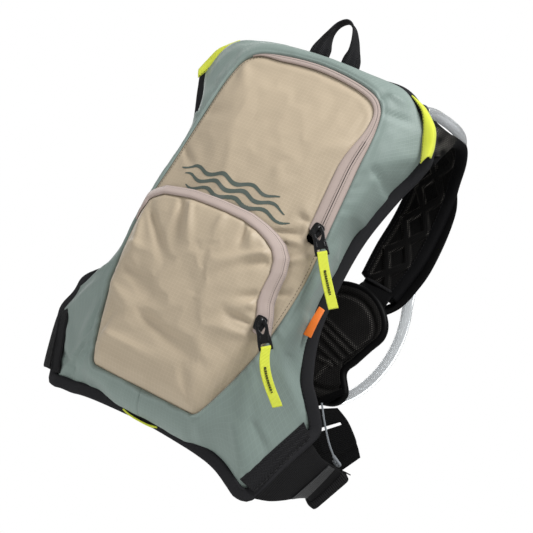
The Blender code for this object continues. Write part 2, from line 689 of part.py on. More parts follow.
def make_drinking_system():
    """The outer hose with its port and sleeve, and the bite valve, its shut-off lever and its clip."""
    hose_fitting("hose_port", HOSE_ROUTE, 5)
    make_hose()
    end = Vector(HOSE_ROUTE[-1])
    rise = (end - Vector(HOSE_ROUTE[-2])).normalized()
    valve_turn = facing(rise, Vector((0, 1, 0)))
    body = [(0, 30), (6.5, 30), (7.0, 26), (7.0, 6), (6.0, 4), (6.0, 0), (0, 0)]
    turned("valve_body", body, "plastic", end + rise * GAP, valve_turn)
    mouth = [(0, 24), (5, 24), (7.5, 20), (7.5, 6), (6.0, 2), (6.0, 0), (0, 0)]
    turned("bite_valve", mouth, "silicone", end + rise * (30 + 2 * GAP), valve_turn)
    lever_spot = end + rise * 16 + Vector((0, 9.4, 0))
    block("valve_lever", (9.0, 3.0, 16.0), "plastic", origin=lever_spot, rotation=valve_turn, edge=0.8)
    clip_spot = Vector(HOSE_ROUTE[-2])
    block("hose_clip", (18, 12.6, 12), "plastic", origin=(clip_spot.x, 129.5, clip_spot.z), edge=1.5)


make_back()
make_shell()
make_front()
make_pocket()
make_haul_loop()
make_trims()
make_zips()
for each_side in (1, -1):
    make_harness(each_side)
make_buckles()
make_reservoir()
make_drinking_system()
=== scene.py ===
"""Looks of the hydration pack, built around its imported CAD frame.

Shapes are worked out in millimetres in the pack's own drawing coordinates: the bottom seam at z = 0, the
middle at x = 0, the outer face towards -Y and the wearer towards +Y. to_world turns them into the frame's
metres, whose origin is the top inside of the haul loop.
"""

from math import cos, pi, radians, sin

import bmesh
import bpy
import numpy as np
from mathutils import Matrix, Vector, noise
from mathutils.bvhtree import BVHTree


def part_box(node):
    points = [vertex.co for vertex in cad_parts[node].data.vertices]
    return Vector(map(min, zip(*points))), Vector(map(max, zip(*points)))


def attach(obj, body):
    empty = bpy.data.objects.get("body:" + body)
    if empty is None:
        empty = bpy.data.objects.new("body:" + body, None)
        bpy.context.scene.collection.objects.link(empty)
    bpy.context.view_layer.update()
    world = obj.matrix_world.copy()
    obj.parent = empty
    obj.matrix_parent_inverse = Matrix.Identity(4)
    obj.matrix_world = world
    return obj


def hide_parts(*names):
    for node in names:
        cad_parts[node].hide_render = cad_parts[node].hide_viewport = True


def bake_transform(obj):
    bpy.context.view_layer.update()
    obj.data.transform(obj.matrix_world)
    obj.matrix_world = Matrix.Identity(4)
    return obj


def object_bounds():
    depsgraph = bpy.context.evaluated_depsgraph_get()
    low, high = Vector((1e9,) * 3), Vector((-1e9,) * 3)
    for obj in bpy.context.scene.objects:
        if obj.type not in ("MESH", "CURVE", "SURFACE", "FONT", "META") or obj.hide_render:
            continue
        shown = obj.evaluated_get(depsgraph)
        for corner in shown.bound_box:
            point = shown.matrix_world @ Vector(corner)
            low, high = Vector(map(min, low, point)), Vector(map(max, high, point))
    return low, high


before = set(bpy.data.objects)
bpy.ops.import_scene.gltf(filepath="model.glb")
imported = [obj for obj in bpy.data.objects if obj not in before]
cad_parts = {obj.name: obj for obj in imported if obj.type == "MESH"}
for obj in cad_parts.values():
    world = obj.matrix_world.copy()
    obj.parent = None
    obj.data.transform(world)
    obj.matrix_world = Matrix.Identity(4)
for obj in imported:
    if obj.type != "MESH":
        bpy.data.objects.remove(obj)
CAD_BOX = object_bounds()

MM = 0.001
HANG_POINT = np.array((-4.0, 5.0, 444.0))
CENTRE_Z = 200.0
CROWN_Y = -38.0
BINDING_WIDTH = 9.0
POCKET_CENTRE = (0.0, 120.0)

# Right half of each outline, from its bottom middle to its top middle, in mm
BACK_HALF = [
    (0, 4, 3.5), (50, 7, 1.5), (75, 9, -1), (88, 11, -4), (98, 12, -8), (108, 13, -13), (120, 14, -18),
    (133, 17, -14), (142, 20, 9), (149, 24, 36), (156, 29, 58), (158, 31, 71), (152, 28, 83),
    (141, 22, 98), (131, 19, 112), (116, 21, 152), (110, 25, 200), (111, 27, 250), (121, 27, 296),
    (134, 24, 332), (137, 20, 350), (125, 16, 373), (106, 14, 389), (79, 11, 398), (40, 6, 401),
    (0, 5, 402),
]
FRONT_HALF = [
    (0, -22, 30), (50, -22, 30), (60, -22, 31), (65, -22, 38), (72, -21, 56), (82, -20, 86),
    (91, -20, 122), (97, -19, 185), (93, -18, 240), (89, -16, 300), (86, -13, 345), (77, -11, 371),
    (52, -9, 384), (0, -8, 390),
]
POCKET_TOP = [
    (-130, 0), (112, 0), (112, 95), (94, 118), (87, 141), (82, 153), (80, 165), (79, 184), (75, 198),
    (67, 207), (57, 212.5), (44, 217), (26, 221), (-8, 221.5), (-44, 220.5), (-79, 215.5), (-92, 208),
    (-104, 196), (-130, 180),
]


# ---------------------------------------------------------------- curves and surfaces

def to_world(points):
    """Drawing coordinates in mm as the frame's metres."""
    return (np.asarray(points, float) - HANG_POINT) * MM


def unit(vectors):
    vectors = np.asarray(vectors, float)
    return vectors / np.maximum(np.linalg.norm(vectors, axis=-1, keepdims=True), 1e-9)


def ramp(value, low, high):
    """Smooth step from 0 at low to 1 at high."""
    t = np.clip((np.asarray(value, float) - low) / (high - low), 0, 1)
    return t * t * (3 - 2 * t)


def smooth(points, per_span=8, closed=False):
    """Catmull-Rom curve through the points."""
    p = np.asarray(points, float)
    p = np.vstack([p[-1:], p, p[:2]]) if closed else np.vstack([p[:1], p, p[-1:]])
    t = np.linspace(0, 1, per_span, endpoint=False)[:, None]
    spans = [0.5 * (2 * b + (c - a) * t + (2 * a - 5 * b + 4 * c - d) * t ** 2
                    + (3 * b - a - 3 * c + d) * t ** 3) for a, b, c, d in zip(p, p[1:], p[2:], p[3:])]
    path = np.vstack(spans)
    return path if closed else np.vstack([path, p[-1]])


def lengths(path):
    """Distance along a path to each of its points."""
    return np.concatenate([[0], np.cumsum(np.linalg.norm(np.diff(path, axis=0), axis=1))])


def resample(path, count, closed=False):
    """The path with evenly spaced points."""
    p = np.vstack([path, path[:1]]) if closed else np.asarray(path, float)
    s = lengths(p)
    want = np.linspace(0, s[-1], count, endpoint=not closed)
    return np.column_stack([np.interp(want, s, p[:, k]) for k in range(p.shape[1])])


def both_halves(half):
    """A closed outline from its right half."""
    return np.array(half + [(-x, y, z) for x, y, z in half[-2:0:-1]], float)


def inset(outline, distance):
    """A closed outline moved inwards in the XZ plane."""
    along = np.roll(outline, -1, 0) - np.roll(outline, 1, 0)
    inwards = unit(np.column_stack([-along[:, 2], np.zeros(len(along)), along[:, 0]]))
    return outline + inwards * np.reshape(distance, (-1, 1))


class Outline:
    """A closed outline that gives its point at any angle round a centre."""

    def __init__(self, points, centre=(0.0, CENTRE_Z)):
        self.points = points
        self.centre = centre
        self.angles = np.arctan2(points[:, 2] - centre[1], points[:, 0] - centre[0])

    def at(self, angle):
        columns = (np.interp(angle, self.angles, self.points[:, k], period=2 * pi) for k in range(3))
        return np.stack(list(columns), -1)

    def share(self, x, z):
        """How far out a point is: 0 at the centre, 1 on the outline."""
        edge = self.at(np.arctan2(z - self.centre[1], x - self.centre[0]))
        reach = np.hypot(edge[..., 0] - self.centre[0], edge[..., 2] - self.centre[1])
        return np.minimum(np.hypot(x - self.centre[0], z - self.centre[1]) / reach, 1), edge


def folded_back(points):
    """Left wing's points: its low corner is folded in and up, and its shoulder stands further out."""
    x, y, z = np.array(points, float).T
    share = 0.77 + 0.23 * ramp(z, -5, 72)
    lifted = z + 13 * (1 - ramp(z, -12, 22)) * ramp(-x, 80, 125)
    return np.column_stack([-80 + share * (x + 80) - 9 * np.exp(-((z - 106) / 13) ** 2), y, lifted])


BACK_LINE = smooth(both_halves(BACK_HALF), 12, closed=True)
# The right shoulder stands higher than the left one, where the hose leaves
BACK_LINE[:, 2] += 6.0 * np.exp(-((BACK_LINE[:, 0] - 84) / 26) ** 2) * (BACK_LINE[:, 2] > 300)
# The left wing is folded further round the wearer, so it spreads less
LEFT_WING = (BACK_LINE[:, 0] < -80) & (BACK_LINE[:, 2] < 135)
BACK_LINE[LEFT_WING] = folded_back(BACK_LINE[LEFT_WING])
FRONT_LINE = smooth(both_halves(FRONT_HALF), 16, closed=True)
BACK_EDGE = Outline(inset(BACK_LINE, BINDING_WIDTH + 1))
FRONT = Outline(FRONT_LINE)


def front_y(x, z):
    """Depth of the front panel's surface."""
    share, seam = FRONT.share(x, z)
    return CROWN_Y + (seam[..., 1] - CROWN_Y) * share ** 2


def pocket_line():
    """The pocket's outline: its own top and right side, or the front seam where that comes first."""
    angles = np.linspace(-pi, pi, 721)[:-1]
    top = np.array([(x, 0, z) for x, z in POCKET_TOP], float)
    dense = np.vstack([np.linspace(a, b, 40, endpoint=False) for a, b in zip(top, np.roll(top, -1, 0))])
    own = Outline(dense, POCKET_CENTRE).at(angles)
    seam = Outline(inset(FRONT_LINE, 0.3), POCKET_CENTRE).at(angles)
    reach = [np.hypot(p[:, 0] - POCKET_CENTRE[0], p[:, 2] - POCKET_CENTRE[1]) for p in (own, seam)]
    return np.where((reach[0] < reach[1])[:, None], own, seam)


POCKET = Outline(pocket_line(), POCKET_CENTRE)


def pocket_lift(share):
    """How far the pocket stands off the front panel."""
    return 2.2 + 13.0 * np.maximum(1 - share ** 6, 0) ** 0.6


WALL_BULGE = 5.0


def wall(angles, shares, lift=0.0):
    """Points of the side wall: share 0 is the front seam, 1 the back binding, which its top covers."""
    front, back = FRONT.at(angles)[None], BACK_EDGE.at(angles)[None]
    # How much of the binding the wall covers: all round the top, less at the left side
    over = 0.4 * ramp(angles, 0.55, 0.75) + 0.6 * ramp(angles, 1.05, 1.35)
    over = over * (1 - ramp(angles, 2.0, 2.3)) + 0.9 * ramp(angles, 2.5, 2.7) * (1 - ramp(angles, 3.35, 3.6))
    over = over + 0.6 * ramp(angles, 3.62, 3.72) * (1 - ramp(angles, 3.85, 3.95))
    over = over[None, :, None]
    back = back + over * 8.5 * (unit(back - (0, 0, CENTRE_Z)) * (1, 0, 1)) - over * (0, 3.0, 0)
    chord = unit(back - front)
    outward = np.stack([np.cos(angles), 0 * angles, np.sin(angles)], -1)[None]
    normal = unit(outward - (outward * chord).sum(-1, keepdims=True) * chord)
    s = np.asarray(shares, float)[:, None, None]
    rise = 6.75 * WALL_BULGE * s * (1 - s) ** 2
    return front + (back - front) * s + normal * (rise + lift), normal


def patch(bottom, top, left, right):
    """Grid between four edges that meet at their ends."""
    u = np.linspace(0, 1, len(bottom))[None, :, None]
    v = np.linspace(0, 1, len(left))[:, None, None]
    sides = (1 - v) * bottom[None] + v * top[None] + (1 - u) * left[:, None] + u * right[:, None]
    return (sides - (1 - u) * (1 - v) * bottom[0] - u * (1 - v) * bottom[-1]
            - (1 - u) * v * top[0] - u * v * top[-1])


def between(one, other, shares):
    """Grid of points from one line across to another."""
    return one[:, None] + (other - one)[:, None] * shares[None, :, None]


def upright(x, z):
    """Points at x and z in the plane y = 0."""
    return np.stack([x, 0 * x, z], -1)


def filled(outline, corners, columns, rows):
    """Grid inside a closed outline, given its bottom left, bottom right, top right and top left corners."""
    flat = outline[:, [0, 2]]
    at = [int(np.argmin(((flat - c) ** 2).sum(1))) for c in corners]

    def run(a, b, count):
        last = b if b > a else b + len(flat)
        return resample(np.take(flat, range(a, last + 1), axis=0, mode="wrap"), count)

    return patch(run(at[0], at[1], columns), run(at[2], at[3], columns)[::-1],
                 run(at[3], at[0], rows)[::-1], run(at[1], at[2], rows))


def wobble(s, wavelength, seed):
    """Smooth random wave along s, from -1 to 1."""
    s = np.asarray(s, float) / wavelength
    knots = np.random.default_rng(seed).uniform(-1, 1, int(s.max()) + 3)
    i = np.floor(s).astype(int)
    return knots[i] + (knots[i + 1] - knots[i]) * ramp(s - i, 0, 1)


def rough(points, size, seed=0.0):
    """Soft random height at points, about -1 to 1, with lumps of a size in mm."""
    flat = np.asarray(points, float).reshape(-1, 3) / size + seed
    return np.array([noise.noise(p) for p in flat]).reshape(np.shape(points)[:-1])


def beside(x, z, start, end):
    """Share of the way from start to end at each point, and its distance from the line between them."""
    (ax, az), (bx, bz) = start, end
    dx, dz = bx - ax, bz - az
    length = np.hypot(dx, dz)
    return ((x - ax) * dx + (z - az) * dz) / length ** 2, ((x - ax) * dz - (z - az) * dx) / length


def fold(x, z, start, end, width, depth):
    """Height of a fold that runs from start to end and widens and fades on the way."""
    t, off = beside(x, z, start, end)
    off = off / (width * (0.55 + 0.7 * np.clip(t, 0, 1)))
    return depth * np.exp(-off ** 2) * ramp(t, -0.12, 0.12) * (1 - ramp(t, 0.45, 1.1))


def normals_of(grid):
    """Normals of a grid of points."""
    return unit(np.cross(np.gradient(grid, axis=1), np.gradient(grid, axis=0)))


def facing(normals, direction=(0, -1, 0)):
    """The normals, turned over where they point away from a direction."""
    return normals * np.sign((normals * np.asarray(direction, float)).sum(-1, keepdims=True))


# ---------------------------------------------------------------- meshes

def new_object(name, data):
    thing = bpy.data.objects.new(name, data)
    bpy.context.scene.collection.objects.link(thing)
    return thing


def mesh_piece(name, points, faces, uv=None):
    """A mesh object from points in mm, with a UV for each corner in metres."""
    mesh = bpy.data.meshes.new(name)
    mesh.from_pydata(to_world(np.reshape(points, (-1, 3))).tolist(), [], faces)
    if uv is not None:
        layer = mesh.uv_layers.new(name="UVMap")
        flat = np.asarray(uv, float).reshape(-1, 2)
        corners = np.zeros(len(mesh.loops), np.int32)
        mesh.loops.foreach_get("vertex_index", corners)
        layer.data.foreach_set("uv", (flat[corners] * MM).ravel())
    mesh.shade_smooth()
    return new_object(name, mesh)


def grid_uv(grid):
    """Arc lengths across and along a grid."""
    across = np.linalg.norm(np.diff(grid, axis=1), axis=2)
    along = np.linalg.norm(np.diff(grid, axis=0), axis=2)
    u = np.concatenate([np.zeros((len(grid), 1)), np.cumsum(across, 1)], 1)
    v = np.concatenate([np.zeros((1, grid.shape[1])), np.cumsum(along, 0)])
    return np.stack([np.broadcast_to(u.mean(0), u.shape), np.broadcast_to(v.mean(1)[:, None], v.shape)], -1)


def grid_faces(rows, columns, ring=False, flip=False):
    """Faces of a grid of points; a ring joins its last column to its first."""
    faces = []
    for r in range(rows - 1):
        for c in range(columns if ring else columns - 1):
            d = (c + 1) % columns
            face = (r * columns + c, r * columns + d, (r + 1) * columns + d, (r + 1) * columns + c)
            faces.append(face[::-1] if flip else face)
    return faces


def surface(name, grid, uv=None, flip=False):
    """An open sheet through a grid of points."""
    uv = grid_uv(grid) if uv is None else uv
    return mesh_piece(name, grid, grid_faces(*grid.shape[:2], flip=flip), uv)


def sweep(name, path, section, ups, scale=None, closed=False):
    """A closed solid: a flat section (n, 2) carried along a path, its second axis held near ups."""
    path = np.asarray(path, float)
    along = unit(np.roll(path, -1, 0) - np.roll(path, 1, 0)) if closed else unit(np.gradient(path, axis=0))
    side = unit(np.cross(along, np.broadcast_to(ups, path.shape)))
    ups = np.cross(side, along)
    section = np.broadcast_to(section, (len(path),) + section.shape)
    if scale is not None:
        section = section * np.reshape(scale, (len(path), 1, -1))
    rings = path[:, None] + side[:, None] * section[..., :1] + ups[:, None] * section[..., 1:]
    count, around = rings.shape[:2]
    faces = grid_faces(count, around, ring=True)
    if closed:
        last = (count - 1) * around
        faces += [(last + c, last + (c + 1) % around, (c + 1) % around, c) for c in range(around)]
    else:
        faces += end_caps(count, around)
    round_way = np.concatenate([lengths(section[0]), [0]])[:around]
    uv = np.stack(np.broadcast_arrays(round_way[None], lengths(path)[:, None]), -1)
    piece = mesh_piece(name, rings, faces, uv)
    fix_normals(piece)
    return piece


def end_caps(count, around):
    """The first and last faces of a stack of rings."""
    return [tuple(range(around - 1, -1, -1)), tuple(range((count - 1) * around, count * around))]


def fix_normals(piece):
    """Turns a closed solid's faces outwards."""
    work = bmesh.new()
    work.from_mesh(piece.data)
    bmesh.ops.recalc_face_normals(work, faces=work.faces)
    work.to_mesh(piece.data)
    work.free()


def light_up(piece, values):
    """Marks where the light catches a mesh fabric, from 0 to 1 for each vertex."""
    layer = piece.data.attributes.new("lit", "FLOAT", "POINT")
    layer.data.foreach_set("value", np.asarray(values, np.float32).ravel())


def oval(width, height, count=16, power=2.4):
    """Section of a flattened tube."""
    t = np.linspace(0, 2 * pi, count, endpoint=False)
    c, s = np.cos(t), np.sin(t)
    return np.column_stack([width / 2 * np.sign(c) * np.abs(c) ** (2 / power),
                            height / 2 * np.sign(s) * np.abs(s) ** (2 / power)])


def thicken(piece, thickness):
    change = piece.modifiers.new("thickness", "SOLIDIFY")
    change.thickness, change.offset = thickness * MM, 0.0


def applied(piece):
    """The piece as a plain mesh, its modifiers applied."""
    graph = bpy.context.evaluated_depsgraph_get()
    mesh = bpy.data.meshes.new_from_object(piece.evaluated_get(graph))
    if piece.type != "MESH":
        name = piece.name
        bpy.data.objects.remove(piece)
        return new_object(name, mesh)
    piece.modifiers.clear()
    piece.data = mesh
    return piece


CLOTH_FRAMES = 18


def settle(piece, pinned, pressure, reach):
    """Cloth simulation of a fabric piece held at its seams; no point moves further than reach mm."""
    before = np.array([v.co for v in piece.data.vertices])
    seams = piece.vertex_groups.new(name="seams")
    seams.add([int(i) for i in pinned], 1.0, "REPLACE")
    cloth = piece.modifiers.new("cloth", "CLOTH")
    cloth.settings.vertex_group_mass = "seams"
    cloth.settings.quality = 6
    cloth.settings.mass = 0.15
    cloth.settings.tension_stiffness = cloth.settings.compression_stiffness = 20
    cloth.settings.shear_stiffness = 8
    cloth.settings.bending_stiffness = 0.5
    cloth.settings.use_pressure = True
    cloth.settings.uniform_pressure_force = pressure
    cloth.settings.effector_weights.gravity = 0
    cloth.point_cache.frame_start, cloth.point_cache.frame_end = 1, CLOTH_FRAMES
    for step in range(1, CLOTH_FRAMES + 1):
        bpy.context.scene.frame_set(step)
    graph = bpy.context.evaluated_depsgraph_get()
    after = np.array([v.co for v in piece.evaluated_get(graph).data.vertices])
    moved = after - before
    far = np.linalg.norm(moved, axis=1, keepdims=True)
    moved *= np.minimum(1, reach * MM / np.maximum(far, 1e-9))
    piece.modifiers.remove(cloth)
    piece.vertex_groups.remove(seams)
    piece.data.vertices.foreach_set("co", (before + moved).astype(np.float32).ravel())
    piece.data.update()
    bpy.context.scene.frame_set(1)


def edge_points(rows, columns):
    """Indices of a grid's border."""
    index = np.arange(rows * columns).reshape(rows, columns)
    return np.unique(np.concatenate([index[0], index[-1], index[:, 0], index[:, -1]]))


def on_surface(piece):
    """A function that drops mm points onto a finished piece: the nearest points and normals, in mm."""
    tree = BVHTree.FromObject(piece, bpy.context.evaluated_depsgraph_get())

    def drop(points):
        found = [tree.find_nearest(Vector(p)) for p in to_world(points)]
        return np.array([f[0] for f in found]) / MM + HANG_POINT, np.array([f[1] for f in found])

    return drop


def stitches(name, path, normals, length=2.4, gap=1.3, radius=0.3, lift=0.15, closed=False):
    """Threads along a path that lies on a surface with these normals, one small capsule each."""
    normals = np.broadcast_to(normals, np.shape(path))
    if closed:
        path, normals = np.vstack([path, path[:1]]), np.vstack([normals, normals[:1]])
    s = lengths(path)

    def at(values, where):
        return np.column_stack([np.interp(where, s, values[:, k]) for k in range(3)])

    around, stations = 6, np.array([0.0, 0.12, 0.5, 0.88, 1.0])
    sizes, heights = np.array([0.35, 0.9, 1.0, 0.9, 0.35]), np.array([-0.6, 0.3, 0.6, 0.3, -0.6])
    turn = np.linspace(0, 2 * pi, around, endpoint=False)
    shape = grid_faces(len(stations), around, ring=True) + end_caps(len(stations), around)
    points, faces = [], []
    for begin in np.arange(gap, s[-1] - length, length + gap):
        centre = at(path, begin + stations * length)
        up = unit(at(normals, begin + stations * length))
        side = unit(np.cross(unit(np.gradient(centre, axis=0)), up))
        centre = centre + up * (lift + heights[:, None] * radius)
        base = len(points) * around * len(stations)
        points.append(centre[:, None]
                      + side[:, None] * (np.cos(turn)[None, :, None] * sizes[:, None, None] * radius)
                      + up[:, None] * (np.sin(turn)[None, :, None] * sizes[:, None, None] * radius))
        faces += [tuple(base + i for i in face) for face in shape]
    piece = mesh_piece(name, np.array(points), faces)
    fix_normals(piece)
    return piece


# ---------------------------------------------------------------- materials

# Every look, by its name
MATERIALS = {}


class Shader:
    """A Principled material in MATERIALS, with short ways to add nodes to it."""

    def __init__(self, name, colour, roughness, values=None):
        self.material = MATERIALS[name] = bpy.data.materials.new(name)
        self.material.use_nodes = True
        self.tree = self.material.node_tree
        self.shader = self.tree.nodes["Principled BSDF"]
        self.colour = colour
        self.set(self.shader, {"Base Color": (*colour, 1), "Roughness": roughness, **(values or {})})
        self.metres = self.node("ShaderNodeSeparateXYZ", {0: self.node("ShaderNodeTexCoord").outputs["UV"]})

    def set(self, node, inputs):
        for key, value in inputs.items():
            if isinstance(value, bpy.types.NodeSocket):
                self.tree.links.new(value, node.inputs[key])
            else:
                node.inputs[key].default_value = value

    def node(self, kind, inputs=None, **settings):
        node = self.tree.nodes.new(kind)
        for key, value in settings.items():
            setattr(node, key, value)
        self.set(node, inputs or {})
        return node

    def math(self, operation, *values, clamp=False):
        node = self.node("ShaderNodeMath", dict(enumerate(values)), operation=operation, use_clamp=clamp)
        return node.outputs[0]

    def near(self, distance, width):
        """1 where a distance is 0, falling to 0 at a width."""
        return self.math("SUBTRACT", 1.0, self.math("DIVIDE", distance, width), clamp=True)

    def lines(self, axis, pitch, width):
        """1 on lines across an axis of the UVs, 0 between them."""
        return self.near(self.math("PINGPONG", self.metres.outputs[axis], pitch / 2), width)

    def sine(self, spot, pitch):
        """Sine wave from 0 to 1."""
        turn = self.math("SINE", self.math("MULTIPLY", spot, 2 * pi / pitch))
        return self.math("MULTIPLY_ADD", turn, 0.5, 0.5)

    def wave(self, axis, pitch, slant=0.0):
        """Sine wave along an axis of the UVs; slant makes it diagonal."""
        across = self.math("MULTIPLY", self.metres.outputs[1 - axis], slant)
        return self.sine(self.math("ADD", self.metres.outputs[axis], across), pitch)

    def two_reliefs(self, coarse, share, fine):
        """Height made of a share of one relief and the rest of another."""
        return self.math("ADD", self.math("MULTIPLY", coarse, share), self.math("MULTIPLY", fine, 1 - share))

    def patches(self, size, detail=3.0):
        """Soft random value from 0 to 1, with patches of a size in metres."""
        spot = self.node("ShaderNodeTexCoord").outputs["Object"]
        inputs = {"Vector": spot, "Scale": 1 / size, "Detail": detail}
        return self.node("ShaderNodeTexNoise", inputs).outputs[0]

    def mix(self, factor, first, second):
        return self.node("ShaderNodeMix", {0: factor, 6: first, 7: second}, data_type="RGBA").outputs[2]

    def shade(self, amount):
        """The base colour, lighter or darker."""
        return (*[min(c * amount, 1.0) for c in self.colour], 1.0)

    def mottled(self, size, dark, light):
        """The base colour, uneven in patches of a size in metres."""
        return self.mix(self.patches(size), self.shade(dark), self.shade(light))

    def finish(self, colour, height, depth):
        """Colour and bump: depth is the relief in metres."""
        bump = self.node("ShaderNodeBump", {"Height": height, "Distance": depth, "Strength": 1.0})
        self.set(self.shader, {"Base Color": colour, "Normal": bump.outputs[0]})
        return self.material


def ripstop(name, colour, roughness):
    """Plain weave with thicker threads that cross every 3.6 mm."""
    s = Shader(name, colour, roughness, {"Sheen Weight": 0.15, "Sheen Roughness": 0.4})
    pitch, thread = 0.0036, 0.0004
    grid = s.math("MAXIMUM", s.lines(0, pitch, thread), s.lines(1, pitch, thread))
    weave = s.math("MULTIPLY", s.wave(0, 0.0009), s.wave(1, 0.0009))
    colour = s.mix(s.math("MULTIPLY", grid, 0.4), s.mottled(0.03, 0.92, 1.06), s.shade(1.22))
    return s.finish(colour, s.two_reliefs(grid, 0.75, weave), 0.00011)


def tape(name, colour, pitch=0.0009, roughness=0.7, relief=0.00025, slant=0.0, edge=1.25, dull=None):
    """Tape with ribs across it, slanted for a twill; dull is the specular level of a tape without sheen."""
    sheen, specular = (0.2, 0.5) if dull is None else (0.0, dull)
    s = Shader(name, colour, roughness, {"Sheen Weight": sheen, "Sheen Roughness": 0.5,
                                         "Specular IOR Level": specular})
    ribs = s.wave(1, pitch, slant)
    colour = s.mix(s.math("MULTIPLY", ribs, 0.4), s.mottled(0.02, 0.9, 1.1), s.shade(edge))
    return s.finish(colour, s.two_reliefs(ribs, 0.75, s.wave(0, pitch * 0.8)), relief)


def webbing(name, colour):
    """Woven webbing: a herringbone of slanted ribs that changes direction every 3 mm."""
    s = Shader(name, colour, 0.75, {"Specular IOR Level": 0.25})
    zigzag = s.math("PINGPONG", s.metres.outputs[0], 0.003)
    ribs = s.sine(s.math("ADD", s.metres.outputs[1], zigzag), 0.0019)
    colour = s.mix(s.math("MULTIPLY", ribs, 0.7), s.mottled(0.015, 0.88, 1.12), s.shade(2.4))
    return s.finish(colour, s.two_reliefs(ribs, 0.8, s.wave(0, 0.0008)), 0.0007)


def air_mesh(name, colour, cell=0.0021):
    """Spacer mesh: round holes in a honeycomb, with painted shade inside them, or a painted highlight where
    the light catches them.
    """
    s = Shader(name, colour, 0.85, {"Specular IOR Level": 0.08})
    tall = cell * 3 ** 0.5
    reach = []
    for shift in (0.0, 0.5):
        squares = []
        for axis, size in ((0, cell), (1, tall)):
            spot = s.math("ADD", s.math("DIVIDE", s.metres.outputs[axis], size), shift)
            off = s.math("MULTIPLY", s.math("SUBTRACT", s.math("FRACT", spot), 0.5), size / cell)
            squares.append(s.math("MULTIPLY", off, off))
        reach.append(s.math("SQRT", s.math("ADD", *squares)))
    nearest = s.math("MINIMUM", *reach)
    solid = s.node("ShaderNodeMapRange", {"Value": nearest, "From Min": 0.22, "From Max": 0.36},
                   interpolation_type="SMOOTHSTEP").outputs[0]
    lit = s.node("ShaderNodeAttribute", attribute_name="lit").outputs["Fac"]
    # The holes carry painted shade, darker than the mesh, turned into a painted highlight where the lit
    # attribute is high
    holes = s.mix(lit, s.shade(0.25), (0.34, 0.32, 0.29, 1))
    return s.finish(s.mix(solid, holes, s.mottled(0.02, 0.9, 1.15)), solid, 0.0005)


def elastic(name, colour):
    """Ribbed elastic: ribs across it and fine threads along it."""
    s = Shader(name, colour, 0.8, {"Specular IOR Level": 0.15})
    ribs = s.wave(1, 0.0021)
    colour = s.mix(s.math("MULTIPLY", ribs, 0.7), s.mottled(0.02, 0.8, 1.15), s.shade(2.6))
    return s.finish(colour, s.two_reliefs(ribs, 0.75, s.wave(0, 0.0009)), 0.0007)


def moulded(name, colour, roughness, values=None, relief=0.00008, grain=0.0012):
    """Plastic, metal or silicone with a fine grain and a little uneven gloss."""
    s = Shader(name, colour, roughness, values)
    wear = s.patches(0.012, 4.0)
    gloss = {"Value": wear, "To Min": roughness * 0.8, "To Max": roughness * 1.25}
    s.set(s.shader, {"Roughness": s.node("ShaderNodeMapRange", gloss).outputs[0]})
    return s.finish(s.mix(wear, s.shade(0.92), s.shade(1.08)), s.patches(grain, 2.0), relief)


def zip_coil(name, colour):
    """Zip tape with its coil: stitch dots on both sides of a thin dark line at u = 0."""
    s = Shader(name, colour, 0.65, {"Sheen Weight": 0.15, "Sheen Roughness": 0.5})
    across = s.math("ABSOLUTE", s.metres.outputs[0])
    row = s.near(s.math("ABSOLUTE", s.math("SUBTRACT", across, 0.0019)), 0.0006)
    dots = s.math("MULTIPLY", row, s.math("GREATER_THAN", s.wave(1, 0.0019), 0.45))
    ground = s.mix(s.math("MULTIPLY", dots, 0.55), s.mottled(0.02, 0.93, 1.05), s.shade(0.45))
    ground = s.mix(s.near(across, 0.00042), ground, (0.04, 0.035, 0.035, 1))
    return s.finish(ground, s.two_reliefs(s.wave(1, 0.0008, 0.7), 0.3, dots), 0.0002)


def hook_patch(name, colour):
    """Hook-and-loop patch: dense short hooks with a dull shine."""
    s = Shader(name, colour, 0.42, {"Coat Weight": 0.2})
    hooks = s.math("MULTIPLY", s.wave(0, 0.0014), s.wave(1, 0.0014))
    height = s.math("ADD", hooks, s.math("MULTIPLY", s.patches(0.0015), 0.6))
    return s.finish(s.mix(hooks, s.shade(0.7), s.shade(1.25)), height, 0.0004)


# Colours that two or more looks share or that stand out, as linear RGB
SAGE = (0.205, 0.262, 0.240)
BEIGE = (0.470, 0.385, 0.275)
TAPE_PINK = (0.430, 0.345, 0.310)
NEON = (0.640, 0.700, 0.035)

ripstop("sage_ripstop", SAGE, 0.56)
ripstop("beige_ripstop", BEIGE, 0.55)
tape("zip_tape", TAPE_PINK, 0.0008, 0.6, 0.0001, slant=0.7, edge=1.1)
zip_coil("zip_coil", TAPE_PINK)
tape("neon_webbing", NEON, 0.0013, 0.6, 0.0003, slant=0.5, edge=1.15)
tape("orange_label", (0.80, 0.17, 0.004), 0.0006, 0.45, 0.00008)
tape("black_binding", (0.0105, 0.0105, 0.0125), 0.0009, 0.7, 0.00022, edge=1.6, dull=0.22)
tape("strap_hem", (0.0025, 0.0025, 0.003), 0.0009, 0.7, 0.00022, edge=1.6, dull=0.08)
tape("outer_fabric", (0.0018, 0.0018, 0.002), 0.0007, 0.6, 0.00012, slant=0.3, edge=1.6, dull=0.06)
tape("retainer_cord", (0.20, 0.22, 0.24), 0.0012, 0.5, 0.0002, slant=1.0)
air_mesh("air_mesh", (0.0075, 0.0072, 0.0071))
webbing("black_webbing", (0.0065, 0.0065, 0.0075))
elastic("elastic", (0.0065, 0.0065, 0.007))
elastic("dark_elastic", (0.0024, 0.0024, 0.0026))
hook_patch("grip_patch", (0.03, 0.031, 0.033))
moulded("zip_metal", (0.012, 0.012, 0.013), 0.28, {"Metallic": 0.6})
moulded("black_plastic", (0.014, 0.014, 0.015), 0.42)
moulded("hose_tube", (0.86, 0.89, 0.91), 0.16,
        {"Transmission Weight": 0.7, "IOR": 1.35, "Coat Weight": 0.4}, 0.00002, 0.01)
moulded("reservoir_film", (0.60, 0.70, 0.76), 0.2, {"Transmission Weight": 0.6}, 0.0002, 0.01)
